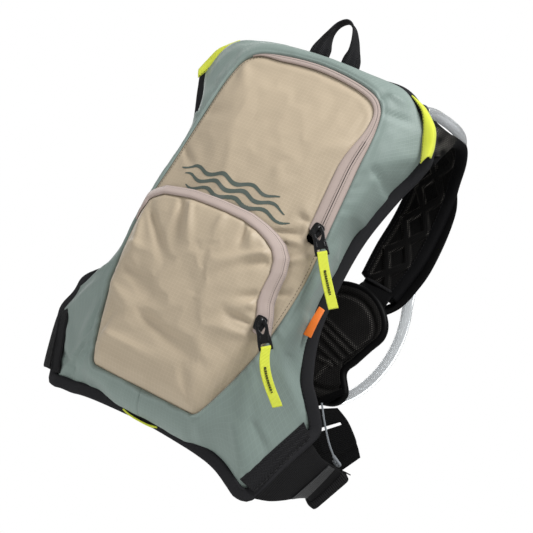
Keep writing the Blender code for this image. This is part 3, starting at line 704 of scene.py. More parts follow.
moulded("valve_silicone", (0.45, 0.47, 0.48), 0.4, {"Transmission Weight": 0.2})
moulded("smooth_rim", (0.0018, 0.0018, 0.002), 0.5, {"Specular IOR Level": 0.08})
moulded("wave_print", (0.075, 0.100, 0.085), 0.32, {"Coat Weight": 0.2}, 0.00004, 0.0026)
moulded("seam_thread", (0.014, 0.014, 0.015), 0.7, {"Specular IOR Level": 0.25})

# Start and end of the stretches between the pack and the harness, in metres; dress bakes a piece given one of
# these in place rather than attaching it to a body
HARNESS_BEND = {"start": to_world((0, 20, 0)), "end": to_world((0, 72, 0))}
WING_BEND = {"start": to_world((0, 22, 0)), "end": to_world((0, 56, 0))}


def dress(piece, slot, body, stands_for=None, look=None, bend=None):
    """Gives a finished piece its material, parents it to its body's empty or, where a bend is given, bakes
    its transform in place, and hides the CAD part that it stands for.
    """
    piece = applied(piece)
    piece.data.materials.clear()
    piece.data.materials.append(MATERIALS[look or slot])
    if bend:
        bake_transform(piece)
    else:
        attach(piece, body)
    if stands_for:
        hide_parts(stands_for)
    return piece


def panel(name, grid, thickness, slot, body, stands_for=None, uv=None, flip=False, puff=None, lit=None,
          **how):
    """Fabric through a grid, dressed; puff is its cloth simulation's pressure and reach in mm."""
    piece = surface(name, grid, uv, flip)
    if puff:
        settle(piece, edge_points(*grid.shape[:2]), *puff)
    if lit is not None:
        light_up(piece, lit)
    thicken(piece, thickness)
    return dress(piece, slot, body, stands_for, **how)


def rod(name, path, section, ups, slot, body, stands_for=None, scale=None, closed=False, **how):
    """A sweep, dressed."""
    return dress(sweep(name, path, section, ups, scale, closed), slot, body, stands_for, **how)


def sew(name, path, normals, body, slot="black_binding", bend=None, **size):
    """A row of stitches, dressed."""
    dress(stitches(name, path, normals, **size), slot, body, look="seam_thread", bend=bend)


def band(name, edges, mesh, thickness, hump, slot, body, stands_for=None, out=(0, -1, 0), **how):
    """A strap between two edges, dressed, its middle raised by a hump; gives its grid and normals."""
    one, other = (resample(smooth(edge, 10), mesh[0]) for edge in edges)
    share = np.linspace(0, 1, mesh[1])
    grid = between(one, other, share)
    width = np.linalg.norm(other - one, axis=1)
    normal = facing(normals_of(grid), out)
    grid = grid + normal * (hump * (4 * share * (1 - share)) ** 0.5)[None, :, None]
    along = lengths(grid[:, mesh[1] // 2])
    uv = np.stack(np.broadcast_arrays(share[None] * width[:, None], along[:, None]), -1)
    piece = surface(name, grid, uv)
    thicken(piece, thickness)
    change = piece.modifiers.new("edge", "BEVEL")
    change.width, change.segments, change.limit_method = min(thickness * 0.3, 0.5) * MM, 2, "ANGLE"
    dress(piece, slot, body, stands_for, **how)
    return grid, normal


# ---------------------------------------------------------------- camera, light, floor

# Camera in the frame's metres
CAMERA_PLACE = Vector((0.678, -1.253, -0.446))
CAMERA_AIM = Vector((0.030, 0.030, -0.251))
CAMERA_UP = Vector((-0.357, -0.329, 0.874))
CAMERA_LENS_MM = 99.94


def make_camera():
    """Camera low at the pack's right, rolled so that the pack leans; gives its right, up and back."""
    back = (CAMERA_PLACE - CAMERA_AIM).normalized()
    right = CAMERA_UP.cross(back).normalized()
    up = back.cross(right)
    camera = new_object("camera", bpy.data.cameras.new("camera"))
    camera.data.lens, camera.data.sensor_width = CAMERA_LENS_MM, 36.0
    camera.matrix_world = Matrix.Translation(CAMERA_PLACE) @ Matrix((right, up, back)).transposed().to_4x4()
    bpy.context.scene.camera = camera
    return right, up, back


LIGHT_DISTANCE_M = 1.6
FLOOR_HEIGHT_M = -0.80


def area_light(name, direction, size, power, aim):
    """A soft round light in a direction from its aim."""
    light = bpy.data.lights.new(name, "AREA")
    light.shape, light.size, light.energy = "DISK", size, power
    lamp = new_object(name, light)
    lamp.location = aim + direction.normalized() * LIGHT_DISTANCE_M
    lamp.rotation_euler = direction.to_track_quat("Z", "Y").to_euler()


def make_studio(right, up, back):
    """White surroundings, a soft key light at the upper right, a fill, a rear light and a pale floor."""
    middle = (CAD_BOX[0] + CAD_BOX[1]) / 2
    area_light("key", right * 0.8 + up * 1.0 + back * 0.55, 0.7, 27, middle)
    area_light("fill", right * -0.9 + up * 0.5 + back * 0.8, 1.2, 3.4, middle)
    area_light("rear", right * -0.3 + up * 0.5 - back * 1.0, 1.2, 9, middle)
    make_world()
    bpy.context.scene.view_settings.view_transform = "Standard"
    floor_mesh = bpy.data.meshes.new("floor")
    work = bmesh.new()
    bmesh.ops.create_circle(work, cap_ends=True, segments=96, radius=1.1)
    work.to_mesh(floor_mesh)
    work.free()
    floor = new_object("floor", floor_mesh)
    floor.location = (middle.x, middle.y, FLOOR_HEIGHT_M)
    paper = Shader("floor_paper", (0.86, 0.86, 0.85), 0.9)
    grain = paper.patches(0.004)
    tone = paper.mix(grain, paper.shade(0.99), paper.shade(1.0))
    floor_mesh.materials.append(paper.finish(tone, grain, 0.0001))


def make_world():
    """White as seen, dimmer as a light."""
    world = bpy.data.worlds.new("studio")
    bpy.context.scene.world = world
    world.use_nodes = True
    nodes, links = world.node_tree.nodes, world.node_tree.links
    seen, light, path, mix = (nodes.new("ShaderNode" + kind) for kind in (
        "Background", "Background", "LightPath", "MixShader"))
    for background, strength in ((seen, 1.0), (light, 0.42)):
        background.inputs["Strength"].default_value = strength
        background.inputs["Color"].default_value = (1, 1, 1, 1)
    links.new(path.outputs["Is Camera Ray"], mix.inputs[0])
    links.new(light.outputs[0], mix.inputs[1])
    links.new(seen.outputs[0], mix.inputs[2])
    links.new(mix.outputs[0], nodes["World Output"].inputs["Surface"])


# ---------------------------------------------------------------- drinking hose

# The hose's route in metres, from the port at the pack's top to the bite valve
HOSE_ROUTE_M = [
    (0.107, 0.024, -0.050), (0.112, 0.033, -0.046), (0.118, 0.041, -0.045), (0.125, 0.050, -0.045),
    (0.130, 0.063, -0.045), (0.131, 0.078, -0.046), (0.129, 0.094, -0.050), (0.126, 0.111, -0.058),
    (0.123, 0.126, -0.071), (0.122, 0.140, -0.090), (0.122, 0.148, -0.114), (0.123, 0.153, -0.141),
    (0.125, 0.153, -0.167), (0.128, 0.151, -0.190), (0.134, 0.148, -0.209), (0.140, 0.147, -0.227),
    (0.144, 0.146, -0.248), (0.144, 0.145, -0.270), (0.139, 0.145, -0.293), (0.130, 0.144, -0.313),
    (0.117, 0.143, -0.328), (0.101, 0.142, -0.334), (0.085, 0.141, -0.332), (0.071, 0.140, -0.323),
    (0.061, 0.139, -0.308), (0.056, 0.138, -0.291), (0.054, 0.137, -0.274),
]
HOSE_DIAMETER = 11.0
SLEEVE_DIAMETER = 14.2


def make_hose():
    """Drinking hose, and the fabric sleeve that holds it to the right strap."""
    route = resample(smooth(np.array(HOSE_ROUTE_M) / MM + HANG_POINT, 6), 300)
    tube = rod("hose_tube", route, oval(HOSE_DIAMETER, HOSE_DIAMETER, 24, 2), (0, 0.6, 0.8), "hose_tube",
               "right_harness", "hose", bend=HARNESS_BEND)
    inside = route[(route[:, 2] > 266) & (route[:, 2] < 355) & (route[:, 1] > 138)]
    rod("hose_sleeve_fabric", inside, oval(SLEEVE_DIAMETER, SLEEVE_DIAMETER, 24, 2), (0, 0.6, 0.8),
        "black_webbing", "right_harness", "hose_sleeve", look="outer_fabric")


FITTING_LOOKS = {name: "black_plastic" for name in (
    "hose_port", "reservoir_outlet", "reservoir_cap", "hose_clip", "valve_body", "valve_lever",
    "sternum_buckle_socket", "sternum_buckle_plug")}
FITTING_LOOKS.update({"inner_hose": "hose_tube", "bite_valve": "valve_silicone"})


def finish_fittings():
    """Materials of the hard CAD parts, which keep their shapes."""
    for name, look in FITTING_LOOKS.items():
        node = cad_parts[name]
        node.data.materials.clear()
        node.data.materials.append(MATERIALS[look])


def make_reservoir():
    """Water bag inside the pack: two films welded round their edge."""
    rim = plate_line(73, 135, 20, (-8, 200))
    centre = Outline(rim, (-8.0, 200.0))
    flat = filled(rim, [(-66, 72), (50, 72), (50, 328), (-66, 328)], 50, 80)
    x, z = flat[..., 0], flat[..., 1]
    share, _ = centre.share(x, z)
    thick = 7.2 * np.maximum(1 - share ** 4, 0) ** 0.6 + 0.5
    sides = [np.stack([x, -14.5 + way * thick, z], -1) for way in (-1, 1)]
    rows, columns = x.shape
    border = list(range(columns)) + [r * columns + columns - 1 for r in range(1, rows)]
    border += list(range(rows * columns - 2, (rows - 1) * columns - 1, -1))
    border += [r * columns for r in range(rows - 2, 0, -1)]
    faces = grid_faces(rows, columns)
    faces += [tuple(i + rows * columns for i in face[::-1]) for face in faces]
    faces += [(a, b, b + rows * columns, a + rows * columns) for a, b in zip(border, border[1:] + border[:1])]
    bag = mesh_piece("reservoir_bag", np.array(sides), faces)
    fix_normals(bag)
    dress(bag, "reservoir_film", "pack", "reservoir")


# ---------------------------------------------------------------- pack body

SHELL_ANGLES = np.linspace(-pi / 2, 1.5 * pi, 481)

# Folds of the side wall and of the two front panels: start, end (x, z), width, height in mm
WALL_FOLDS = [
    ((70, 374), (76, 392), 4, -1.8), ((78, 386), (98, 384), 3.5, 1.6), ((83, 366), (112, 372), 4, -1.4),
    ((99, 314), (112, 304), 3, -2.0), ((104, 304), (97, 246), 6, 2.2), ((110, 300), (118, 322), 5, -1.5),
    ((101, 262), (103, 226), 4, -1.5), ((97, 204), (100, 158), 4, -2.2), ((104, 160), (101, 124), 5, 2.2),
    ((108, 120), (122, 100), 5, -1.4), ((92, 44), (122, 4), 5, 2.0), ((108, 50), (136, 22), 5, -1.6),
    ((62, 30), (60, 8), 5, -1.6), ((-76, 44), (-88, 12), 3, 2.8), ((-84, 44), (-100, 8), 4, -2.2),
    ((-132, 30), (-76, 16), 4, -2.0), ((-130, 54), (-92, 18), 7, 1.8), ((-88, 90), (-84, 44), 4, -1.5),
    ((-96, 300), (-112, 280), 4, 1.4), ((-98, 210), (-112, 160), 5, -1.5),
]
FRONT_FOLDS = [
    ((50, 216), (84, 230), 4, -1.6), ((70, 192), (95, 212), 4, 1.6), ((78, 163), (94, 174), 4, -1.5),
    ((20, 276), (44, 246), 9, 0.7), ((80, 238), (60, 240), 4, -1.8), ((64, 214), (84, 218), 3, 1.3),
    ((80, 228), (56, 262), 6, 1.0), ((-92, 262), (-60, 242), 5, -1.2), ((-84, 372), (-60, 340), 6, 0.9),
    ((88, 330), (40, 300), 9, 0.8), ((-96, 300), (-50, 310), 8, -0.8),
]
POCKET_FOLDS = [
    ((-50, 212), (-24, 158), 6, -2.2), ((-36, 210), (-14, 168), 5, 1.8),
    ((-76, 186), (-22, 140), 6, -2.2), ((-84, 176), (-60, 120), 7, 1.6),
    ((27, 211), (33, 184), 3.5, -2.0), ((37, 209), (44, 188), 4, 1.6), ((64, 196), (14, 160), 6, 2.0),
    ((66, 186), (30, 172), 7, -1.6), ((74, 158), (48, 140), 5, -1.6), ((76, 148), (52, 128), 5, 1.4),
    ((76, 128), (42, 126), 5, -2.0), ((78, 116), (36, 108), 6, 1.6), ((-72, 128), (-8, 104), 9, -2.0),
    ((-84, 108), (-20, 84), 8, 1.5), ((-30, 92), (62, 70), 9, -2.2), ((-58, 60), (20, 56), 8, 1.4),
    ((58, 36), (30, 72), 6, -1.3), ((4, 218), (6, 180), 5, 1.4), ((-70, 50), (-54, 84), 6, -1.2),
    ((-84, 150), (-50, 148), 5, 1.1),
]


def folded(x, z, folds, strength):
    return strength * sum(fold(x, z, *values) for values in folds)


def gathers(along, away, spacing, depth, reach, seed):
    """Small puckers along a seam, that fade away from it."""
    return depth * wobble(along, spacing, seed) * np.exp(-away / reach) * ramp(away, 0, 1.5)


def make_shell():
    """Side wall of sage ripstop, sewn to the front panel and the back binding."""
    shares = np.linspace(0, 1, 24) ** 1.15 * 0.985
    flat = wall(SHELL_ANGLES, shares)[0]
    uv = grid_uv(flat)
    along, away = uv[..., 0], uv[..., 1]
    points, normal = wall(SHELL_ANGLES, shares, lift=0.4)
    x, z = points[..., 0], points[..., 2]
    middle = 4 * shares[:, None] * (1 - shares[:, None])
    low = 1 - ramp(z, 60, 150)
    depth = away[-1].mean()
    relief = middle * (0.9 * rough(points, 34, 3) + 0.45 * rough(points, 14, 9))
    relief += gathers(along, away, 7.0, 0.5 + 1.3 * low, 11, 5) + gathers(along, depth - away, 9.0, 0.8, 8, 6)
    relief += folded(x, z, WALL_FOLDS, 1.7) * ramp(away, 0, 6) * ramp(depth * 1.1 - away, 0, 8)
    relief += 1.3 * ramp(away, 0, 1.8) - 0.5 + 1.5 * np.exp(-((away - 2.4) / 1.6) ** 2)
    left_corner = ramp(-x, 84, 116) * ramp(z, 300, 350)
    relief += (6.0 * left_corner + 2.5 * ramp(z, 345, 390)) * ramp(shares[:, None], 0.3, 0.75)
    points = points + normal * relief[..., None]
    under = ramp(x, -62, -25) * (1 - ramp(x, 50, 85)) * (1 - ramp(z, 30, 60))
    drop = ramp(shares[:, None], 0.1, 0.8) ** 0.8 * (1 - 0.6 * ramp(shares[:, None], 0.8, 0.98))
    points[..., 2] -= 8.0 * under * drop
    panel("shell_sage", points, SHELL_THICKNESS, "sage_ripstop", "pack", "main_shell", uv=uv, puff=(1.2, 3.0))


def tape_width(height):
    """Width of the main zip's tape in mm: it narrows towards the top."""
    return 16.0 - 10.5 * ramp(height, 296, 366)


TAPE_SPAN = (0.225, 1.97)     # angles of the main zip tape's ends
TAPE_FADE = 1.78              # angle where it starts to narrow to its upper end
MAIN_COIL = 0.42              # places of the zips' coils, as shares of their tapes' widths
POCKET_COIL = 0.72
# Thicknesses in mm
TAPE_THICKNESS = 0.5
PANEL_THICKNESS = 0.6
SHELL_THICKNESS = 0.7
MESH_THICKNESS = 0.8
# Rough distances in mm from the middle of each panel to its edge
FRONT_REACH = 100
POCKET_REACH = 90
VEST_REACH = 45
PAD_REACH = 60


def tape_edges():
    """Outline between the front panel and the zip tape: inside the seam by the tape's width where it runs."""
    angles = np.arctan2(FRONT_LINE[:, 2] - CENTRE_Z, FRONT_LINE[:, 0])
    present = ramp(angles, TAPE_SPAN[0] - 0.02, TAPE_SPAN[0] + 0.02)
    present = present * (1 - ramp(angles, TAPE_FADE, TAPE_SPAN[1]))
    return inset(FRONT_LINE, tape_width(FRONT_LINE[:, 2]) * present)


TAPE_INNER = Outline(tape_edges())


def make_front():
    """Front panel of beige ripstop, under the pocket and inside the main zip."""
    edge = tape_edges()
    corners = [(-66, 31), (66, 36), (74, 368), (-88, 372)]
    flat = filled(edge, corners, 100, 176)
    x, z = flat[..., 0], flat[..., 1]
    share, _ = TAPE_INNER.share(x, z)
    away = (1 - share) * FRONT_REACH
    turn = np.arctan2(z - CENTRE_Z, x)
    spots = upright(x, z)
    relief = 0.8 * rough(spots, 46, 2) + 0.35 * rough(spots, 16, 7)
    relief += gathers((turn + pi) * 105, away, 8.0, 0.7, 9, 8) + folded(x, z, FRONT_FOLDS, 1.9)
    relief *= ramp(away, 0, 8)
    relief -= 1.3 * (1 - ramp(away, 0, 5))
    points = np.stack([x, front_y(x, z) - relief - 0.6, z], -1)
    return panel("front_beige", points, PANEL_THICKNESS, "beige_ripstop", "pack", "front_panel", uv=flat,
                 flip=True, puff=(0.8, 2.5))


def front_normal(x, z):
    """Outward normal of the front panel's surface."""
    slope_x = front_y(x + 1, z) - front_y(x - 1, z)
    slope_z = front_y(x, z + 1) - front_y(x, z - 1)
    return unit(np.stack([slope_x / 2, -np.ones_like(slope_x), slope_z / 2], -1))


def make_main_tape():
    """Main zip's tape: wide on the straight run, where its end is cut slanted, and narrow over the top."""
    angles = np.linspace(*TAPE_SPAN, 260)
    width = tape_width(FRONT.at(angles)[:, 2]) * (1 - ramp(angles, TAPE_FADE, TAPE_SPAN[1])) + 0.8
    shares = np.linspace(0, 1, 15)
    cut = 1 - ramp(angles, TAPE_SPAN[0], TAPE_SPAN[0] + 0.5)
    grid = np.array([inset_at(FRONT_LINE, angles + 0.13 * share * cut, (width + 0.4) * share - 0.4)
                     for share in shares])
    s = shares[:, None]
    rise = 1.5 * ramp(s, 0, 0.12) * (1 - 0.9 * ramp(s, 0.86, 1)) + 0.5
    slit = np.exp(-((s - MAIN_COIL) * width / 1.1) ** 2) * ramp(width, 8, 12)
    x, z = grid[..., 0], grid[..., 2]
    grid = np.stack([x, front_y(x, z), z], -1) + front_normal(x, z) * (rise + 0.9 * slit)[..., None]
    along = np.broadcast_to(lengths(grid[7]), x.shape)
    panel("main_zip_tape_sewn", grid, TAPE_THICKNESS, "zip_tape", "pack", "main_zip_tape",
          uv=np.stack([(s - MAIN_COIL) * width[None], along], -1), look="zip_coil")
    make_main_coil(grid, width)


def make_main_coil(grid, width):
    """The main zip's dark slit between its rows of coil stitches, where the tape is wide."""
    straight = np.flatnonzero(width > 11)
    for offset in (-2, 0, 2):
        row = (MAIN_COIL + offset / width[straight]) * (len(grid) - 1)
        low = row.astype(int)
        t = (row - low)[:, None]
        line = grid[low, straight] * (1 - t) + grid[low + 1, straight] * t
        out = front_normal(line[:, 0], line[:, 2])
        if offset:
            sew("main_coil_stitches_%d" % (offset > 0), line, out, "pack", "zip_tape", length=0.7, gap=0.7,
                radius=0.24)
        else:
            rod("main_zip_slit", line + out * 0.15, oval(0.8, 0.5, 8, 2), out, "zip_tape", "pack",
                look="seam_thread")


def inset_at(line, angles, distance):
    """Points of a closed outline at given angles, moved inwards by a distance for each."""
    outline = Outline(line)
    here = outline.at(angles)
    along = outline.at(np.asarray(angles) + 0.01) - outline.at(np.asarray(angles) - 0.01)
    inwards = unit(np.column_stack([-along[:, 2], 0 * here[:, 0], along[:, 0]]))
    return here + inwards * np.reshape(distance, (-1, 1))


BAND_SPAN = (radians(1), radians(150))


def banded(angles):
    """1 where the pocket's edge has the zip band, 0 where it's sewn into the front seam."""
    return ramp(angles, BAND_SPAN[0] - 0.02, BAND_SPAN[0] + 0.02) * (1 - ramp(angles, 2.45, BAND_SPAN[1]))


def band_share(angles):
    """Where the pocket's panel meets its zip band; close to the outline where there's no band."""
    return 1.0 - (0.080 + 0.036 * (1 - ramp(angles, 0.3, 1.2))) * banded(angles)


def pocket_at(angles, shares):
    """x and z at shares of the way from the pocket's centre to its outline."""
    edge = POCKET.at(angles)
    x = POCKET_CENTRE[0] + (edge[..., 0] - POCKET_CENTRE[0]) * shares
    z = POCKET_CENTRE[1] + (edge[..., 2] - POCKET_CENTRE[1]) * shares
    return x, z


def pocket_angle(x, z):
    return np.arctan2(z - POCKET_CENTRE[1], x - POCKET_CENTRE[0])


def pocket_surface(x, z):
    """Points of the pocket's smooth surface."""
    share, _ = POCKET.share(x, z)
    angle = pocket_angle(x, z)
    sewn = 3.0 * (1 - banded(angle)) * ramp(share, 0.85, 1)
    return np.stack([x, front_y(x, z) - pocket_lift(share) + sewn, z], -1)


def make_pocket_panel():
    """Puffed pocket panel."""
    turn = np.linspace(-pi, pi, 721)[:-1]
    corners = [(-62, 36), (64, 40), (62, 197), (-84, 190)]
    flat = filled(upright(*pocket_at(turn, band_share(turn))), corners, 110, 130)
    x, z = flat[..., 0], flat[..., 1]
    share, _ = POCKET.share(x, z)
    angle = pocket_angle(x, z)
    away = (band_share(angle) - share) * POCKET_REACH
    spots = upright(x, z)
    relief = 1.1 * rough(spots, 40, 5) + 0.45 * rough(spots, 15, 4)
    relief += gathers((angle + pi) * 85, away, 8.0, 1.2, 10, 12) + folded(x, z, POCKET_FOLDS, 1.8)
    relief *= ramp(away, 0, 7)
    relief -= 1.6 * (1 - ramp(away, 0, 5))
    points = pocket_surface(x, z)
    points[..., 1] -= relief + 0.3
    panel("pocket_beige", points, PANEL_THICKNESS, "beige_ripstop", "pack", "lower_pocket", uv=flat,
          flip=True, puff=(2.0, 3.5))


def make_pocket_band():
    """The pocket's zip band, with a groove along its coil."""
    angles = np.linspace(*BAND_SPAN, 220)
    shares = np.linspace(0, 1, 13)[:, None]
    inner = band_share(angles)[None] - 0.012
    points = pocket_surface(*pocket_at(angles[None], inner + (1.012 - inner) * shares))
    rise = 1.5 * ramp(shares, 0, 0.14) + 0.3
    groove = np.exp(-((shares - POCKET_COIL) / 0.07) ** 2)
    points = points + facing(normals_of(points)) * (rise - 0.7 * groove)[..., None]
    width = np.linalg.norm(points[-1] - points[0], axis=1)
    u = (shares - POCKET_COIL) * width[None] + 0.02
    uv = np.stack([u, np.broadcast_to(lengths(points[6]), u.shape)], -1)
    panel("pocket_zip_band", points, TAPE_THICKNESS, "zip_tape", "pack", "pocket_zip_tape", uv=uv,
          look="zip_coil")


def make_back_binding():
    """Binding round the back's edge, with its seam."""
    line = resample(inset(BACK_LINE, 5.2), 420, closed=True) - (0, 1.2, 0)
    outward = unit(np.roll(line, -1, 0) - np.roll(line, 1, 0))
    outward = np.column_stack([outward[:, 2], 0 * outward[:, 0], -outward[:, 0]])
    ups = unit(np.array((0, -1.0, 0)) + 0.25 * outward)
    piece = rod("back_binding_sewn", line, oval(12.4, 4.8, 20, 3.2), ups, "black_binding", "pack",
                "back_binding", closed=True)
    seam = resample(inset(BACK_LINE, 9.3), 900, closed=True) + (0, -6, 0)
    sew("back_binding_stitches", *on_surface(piece)(seam), "pack", closed=True)


def mirror(points, side):
    """Points drawn for the right, on a side: 1 is right and -1 left."""
    return np.asarray(points, float) * (side, 1, 1)


TRIM_INNER = [
    (88, 12, 400), (100, 9, 393.5), (110, 8, 386), (118, 9, 373), (122, 10, 363), (126.5, 11, 352),
    (132, 9.5, 339),
]
TRIM_OUTER = [
    (89, 12, 400.5), (100, 10, 396), (109, 9, 391.5), (120, 10, 383), (128, 10, 374), (133.5, 11, 360),
    (136, 9.5, 348),
]


def make_corner_trim(side, word):
    """Neon webbing across a top corner."""
    inner, outer = mirror(TRIM_INNER, side), mirror(TRIM_OUTER, side)
    if side < 0:
        inner, outer = inner[2:], outer[2:]
    rear = outer + (0.8 * side, 5.5, 0.6)
    rows = (inner, inner * 0.5 + outer * 0.5 + (0, -1.2, 0), outer, rear)
    curve = np.stack([resample(smooth(row, 8), 60) for row in rows], 1)
    grid = np.stack([resample(smooth(row, 5), 16) for row in curve])
    panel(word + "_corner_trim_webbing", grid, 1.2, "neon_webbing", "pack", word + "_corner_trim")
    sew(word + "_trim_stitches", grid[:, 1], facing(normals_of(grid))[:, 1], "pack", length=1.8, gap=1.2,
        lift=0.7)


def make_wing_band(side, word):
    """Black webbing along a wing's end, with two seams and a whipped edge."""
    edges = [mirror(np.linspace((117, 9.5, -2), (142, 22.5, 72), 12), side),
             mirror(np.linspace((135, 14.5, -7), (154, 28, 61), 12), side)]
    if side < 0:
        edges = [folded_back(edge) for edge in edges]
    grid, normal = band(word + "_wing_band", edges, (60, 12), 1.6, 1.0, "black_webbing", "pack",
                        word + "_wing_webbing")
    for share, radius in ((0.12, 0.3), (0.82, 0.35)):
        column = share * (grid.shape[1] - 1)
        low, t = int(column), column - int(column)
        line = grid[:, low] * (1 - t) + grid[:, low + 1] * t
        sew("%s_wing_stitches_%d" % (word, share * 100), line, normal[:, low], "pack", lift=1.0,
            radius=radius)
    sew(word + "_wing_whip_stitches", grid[:, -2] + normal[:, -2] * 0.8, normal[:, -2], "pack",
        "black_webbing", length=5.4, gap=0.6, radius=0.6, lift=0.1)


def make_bottom_loop():
    """Neon webbing loop under the bottom binding."""
    front_edge = [(-22, 1.0, 5.5), (-12, -1.2, 3.4), (0, -1.6, 2.6), (12, -1.2, 3.0), (20, 1.0, 5.0)]
    rear_edge = [(x, y + 9, z) for x, y, z in front_edge]
    band("bottom_loop_webbing", (front_edge, rear_edge), (40, 8), 1.8, 0.0, "neon_webbing", "pack",
         "bottom_loop", out=(0, 0, -1))


def make_label():
    """Small orange tab folded into the side seam, blank."""
    edges = [[(108.5, 5, 144), (109.5, 3.5, 159), (110.0, 5, 174)],
             [(116.5, 6, 144), (116.5, 4.5, 159), (116.0, 6, 173)]]
    band("side_label_tab", edges, (30, 10), 1.8, 0.7, "orange_label", "pack", "side_label")


HAUL_LINE = [
    (-16, 3, 402), (-16.5, 3, 411), (-17, 3.4, 420), (-16.5, 4, 430), (-13, 5, 441), (-5, 5, 447),
    (4, 5, 443), (12, 4, 431), (16.5, 3.4, 420), (19, 3, 411), (21, 2.6, 402),
]
HAUL_HALF_WIDTH = [
    (11, 0, 0), (10, 1, 1), (6, 3, 1), (1.8, 4.6, 1), (0.2, 4.8, 0), (0, 4.8, 0), (0.2, 4.8, 0),
    (1.8, 4.6, 1), (5, 3, 1), (9, 1, 1), (10.5, 0, 0),
]


def make_haul_loop():
    """Webbing loop, sewn flat at both feet and folded narrow over the top."""
    path, half = smooth(HAUL_LINE, 10), smooth(HAUL_HALF_WIDTH, 10)
    share = np.linspace(-1, 1, 13)
    grid = path[:, None] + half[:, None] * share[None, :, None]
    folded_up = 1 - ramp(np.abs(half[:, 0]), 1, 6)
    grid = grid + normals_of(grid) * (1.2 * folded_up[:, None] * (1 - share[None] ** 2))[..., None]
    panel("haul_loop_webbing", grid, 1.9, "black_webbing", "pack", "haul_loop")
    for foot in (slice(0, 16), slice(-16, None)):
        for column in (2, 10):
            sew("haul_stitches_%d_%d" % (foot.start + 16, column), grid[foot, column], (0, -1, 0), "pack",
                length=2.0, gap=1.0, lift=1.3)


# ---------------------------------------------------------------- zips

def placed(piece, origin, across, out, up):
    """Turns and moves a piece drawn about the world's origin, in metres, to a place in mm."""
    turn = Matrix([unit(v) for v in (across, out, up)]).transposed().to_4x4()
    piece.data.transform(Matrix.Translation(Vector(to_world(origin))) @ turn)


def plate(name, outlines, thickness, bevel=0.5):
    """A flat plate in the XY plane, its later outlines being holes, with rounded edges."""
    curve = bpy.data.curves.new(name, "CURVE")
    curve.dimensions, curve.fill_mode = "2D", "BOTH"
    curve.extrude, curve.bevel_depth, curve.bevel_resolution = (thickness / 2 - bevel) * MM, bevel * MM, 3
    for outline in outlines:
        spline = curve.splines.new("POLY")
        spline.points.add(len(outline) - 1)
        for point, (x, y) in zip(spline.points, outline):
            point.co = (x * MM, y * MM, 0, 1)
        spline.use_cyclic_u = True
    thing = applied(new_object(name, curve))
    thing.data.shade_smooth()
    return thing


def pull_outline(widths):
    """Smooth outline of a plate that is symmetric about Y, from its half widths (y, half width)."""
    right = [(half, y, 0) for y, half in widths]
    return smooth(right + [(-x, y, 0) for x, y, _ in right[::-1]], 10, closed=True)[:, :2]


# Places of the CAD pullers' and tabs' hinges in metres, and the shapes of the tabs
PULLS = {
    "main": {"pivot": (0.09118, -0.03444, -0.20972), "tab": (0.10704, -0.03308, -0.22925),
             "hang": (0.6297, 0.0542, -0.775), "out": (0.2741, -0.9489, 0.1563), "bow": 0.8, "sway": 1.0,
             "along": (4, 25)},
    "pocket": {"pivot": (0.0894, -0.04497, -0.31181), "tab": (0.10477, -0.04107, -0.3314),
               "hang": (0.6097, 0.1546, -0.7774), "out": (0.3767, -0.9195, 0.1126), "bow": 3.0, "sway": 4.6,
               "along": (-1, 23)},
}
PULLER_WIDTHS = [(2.2, 2.6), (0.8, 4.4), (-4, 5.4), (-11, 5.2), (-17, 6.0), (-24.6, 6.2), (-25.8, 5.0)]
WINDOW_WIDTHS = [(-0.6, 1.4), (-2.4, 3.0), (-6, 3.3), (-9, 2.2), (-11.4, 0.7)]
TAB_LENGTH = 58.0
TAB_HALF_WIDTH = 4.6


def make_pull(name):
    """Puller and folded webbing tab of one zip, in the places of the CAD ones."""
    spec = PULLS[name]
    hang, out = unit(spec["hang"]), unit(spec["out"])
    across = np.cross(out, hang)
    make_puller(name, np.array(spec["pivot"]) / MM + HANG_POINT, across, out, hang)
    make_tab(name, np.array(spec["tab"]) / MM + HANG_POINT, across, out, hang)


def make_puller(name, pivot, across, out, hang):
    """Flat puller with a window, a slot for the tab and two ribs."""
    slot = smooth([(3.6, -19.6, 0), (3.6, -23.2, 0), (-3.6, -23.2, 0), (-3.6, -19.6, 0)], 6, closed=True)
    outlines = [pull_outline(PULLER_WIDTHS), pull_outline(WINDOW_WIDTHS), slot[:, :2]]
    puller = plate(name + "_puller_plate", outlines, 1.9)
    placed(puller, pivot, across, -hang, out)
    dress(puller, "zip_metal", name + "_puller", name + "_zip_puller")
    for x in (-4.6, 4.6):
        line = pivot + across * x * 0.8 + out * 1.1 + hang * np.linspace(12.6, 18.2, 12)[:, None]
        rod("%s_puller_rib_%d" % (name, x > 0), line, oval(1.5, 1.2, 12, 2.2), out, "zip_metal",
            name + "_puller")


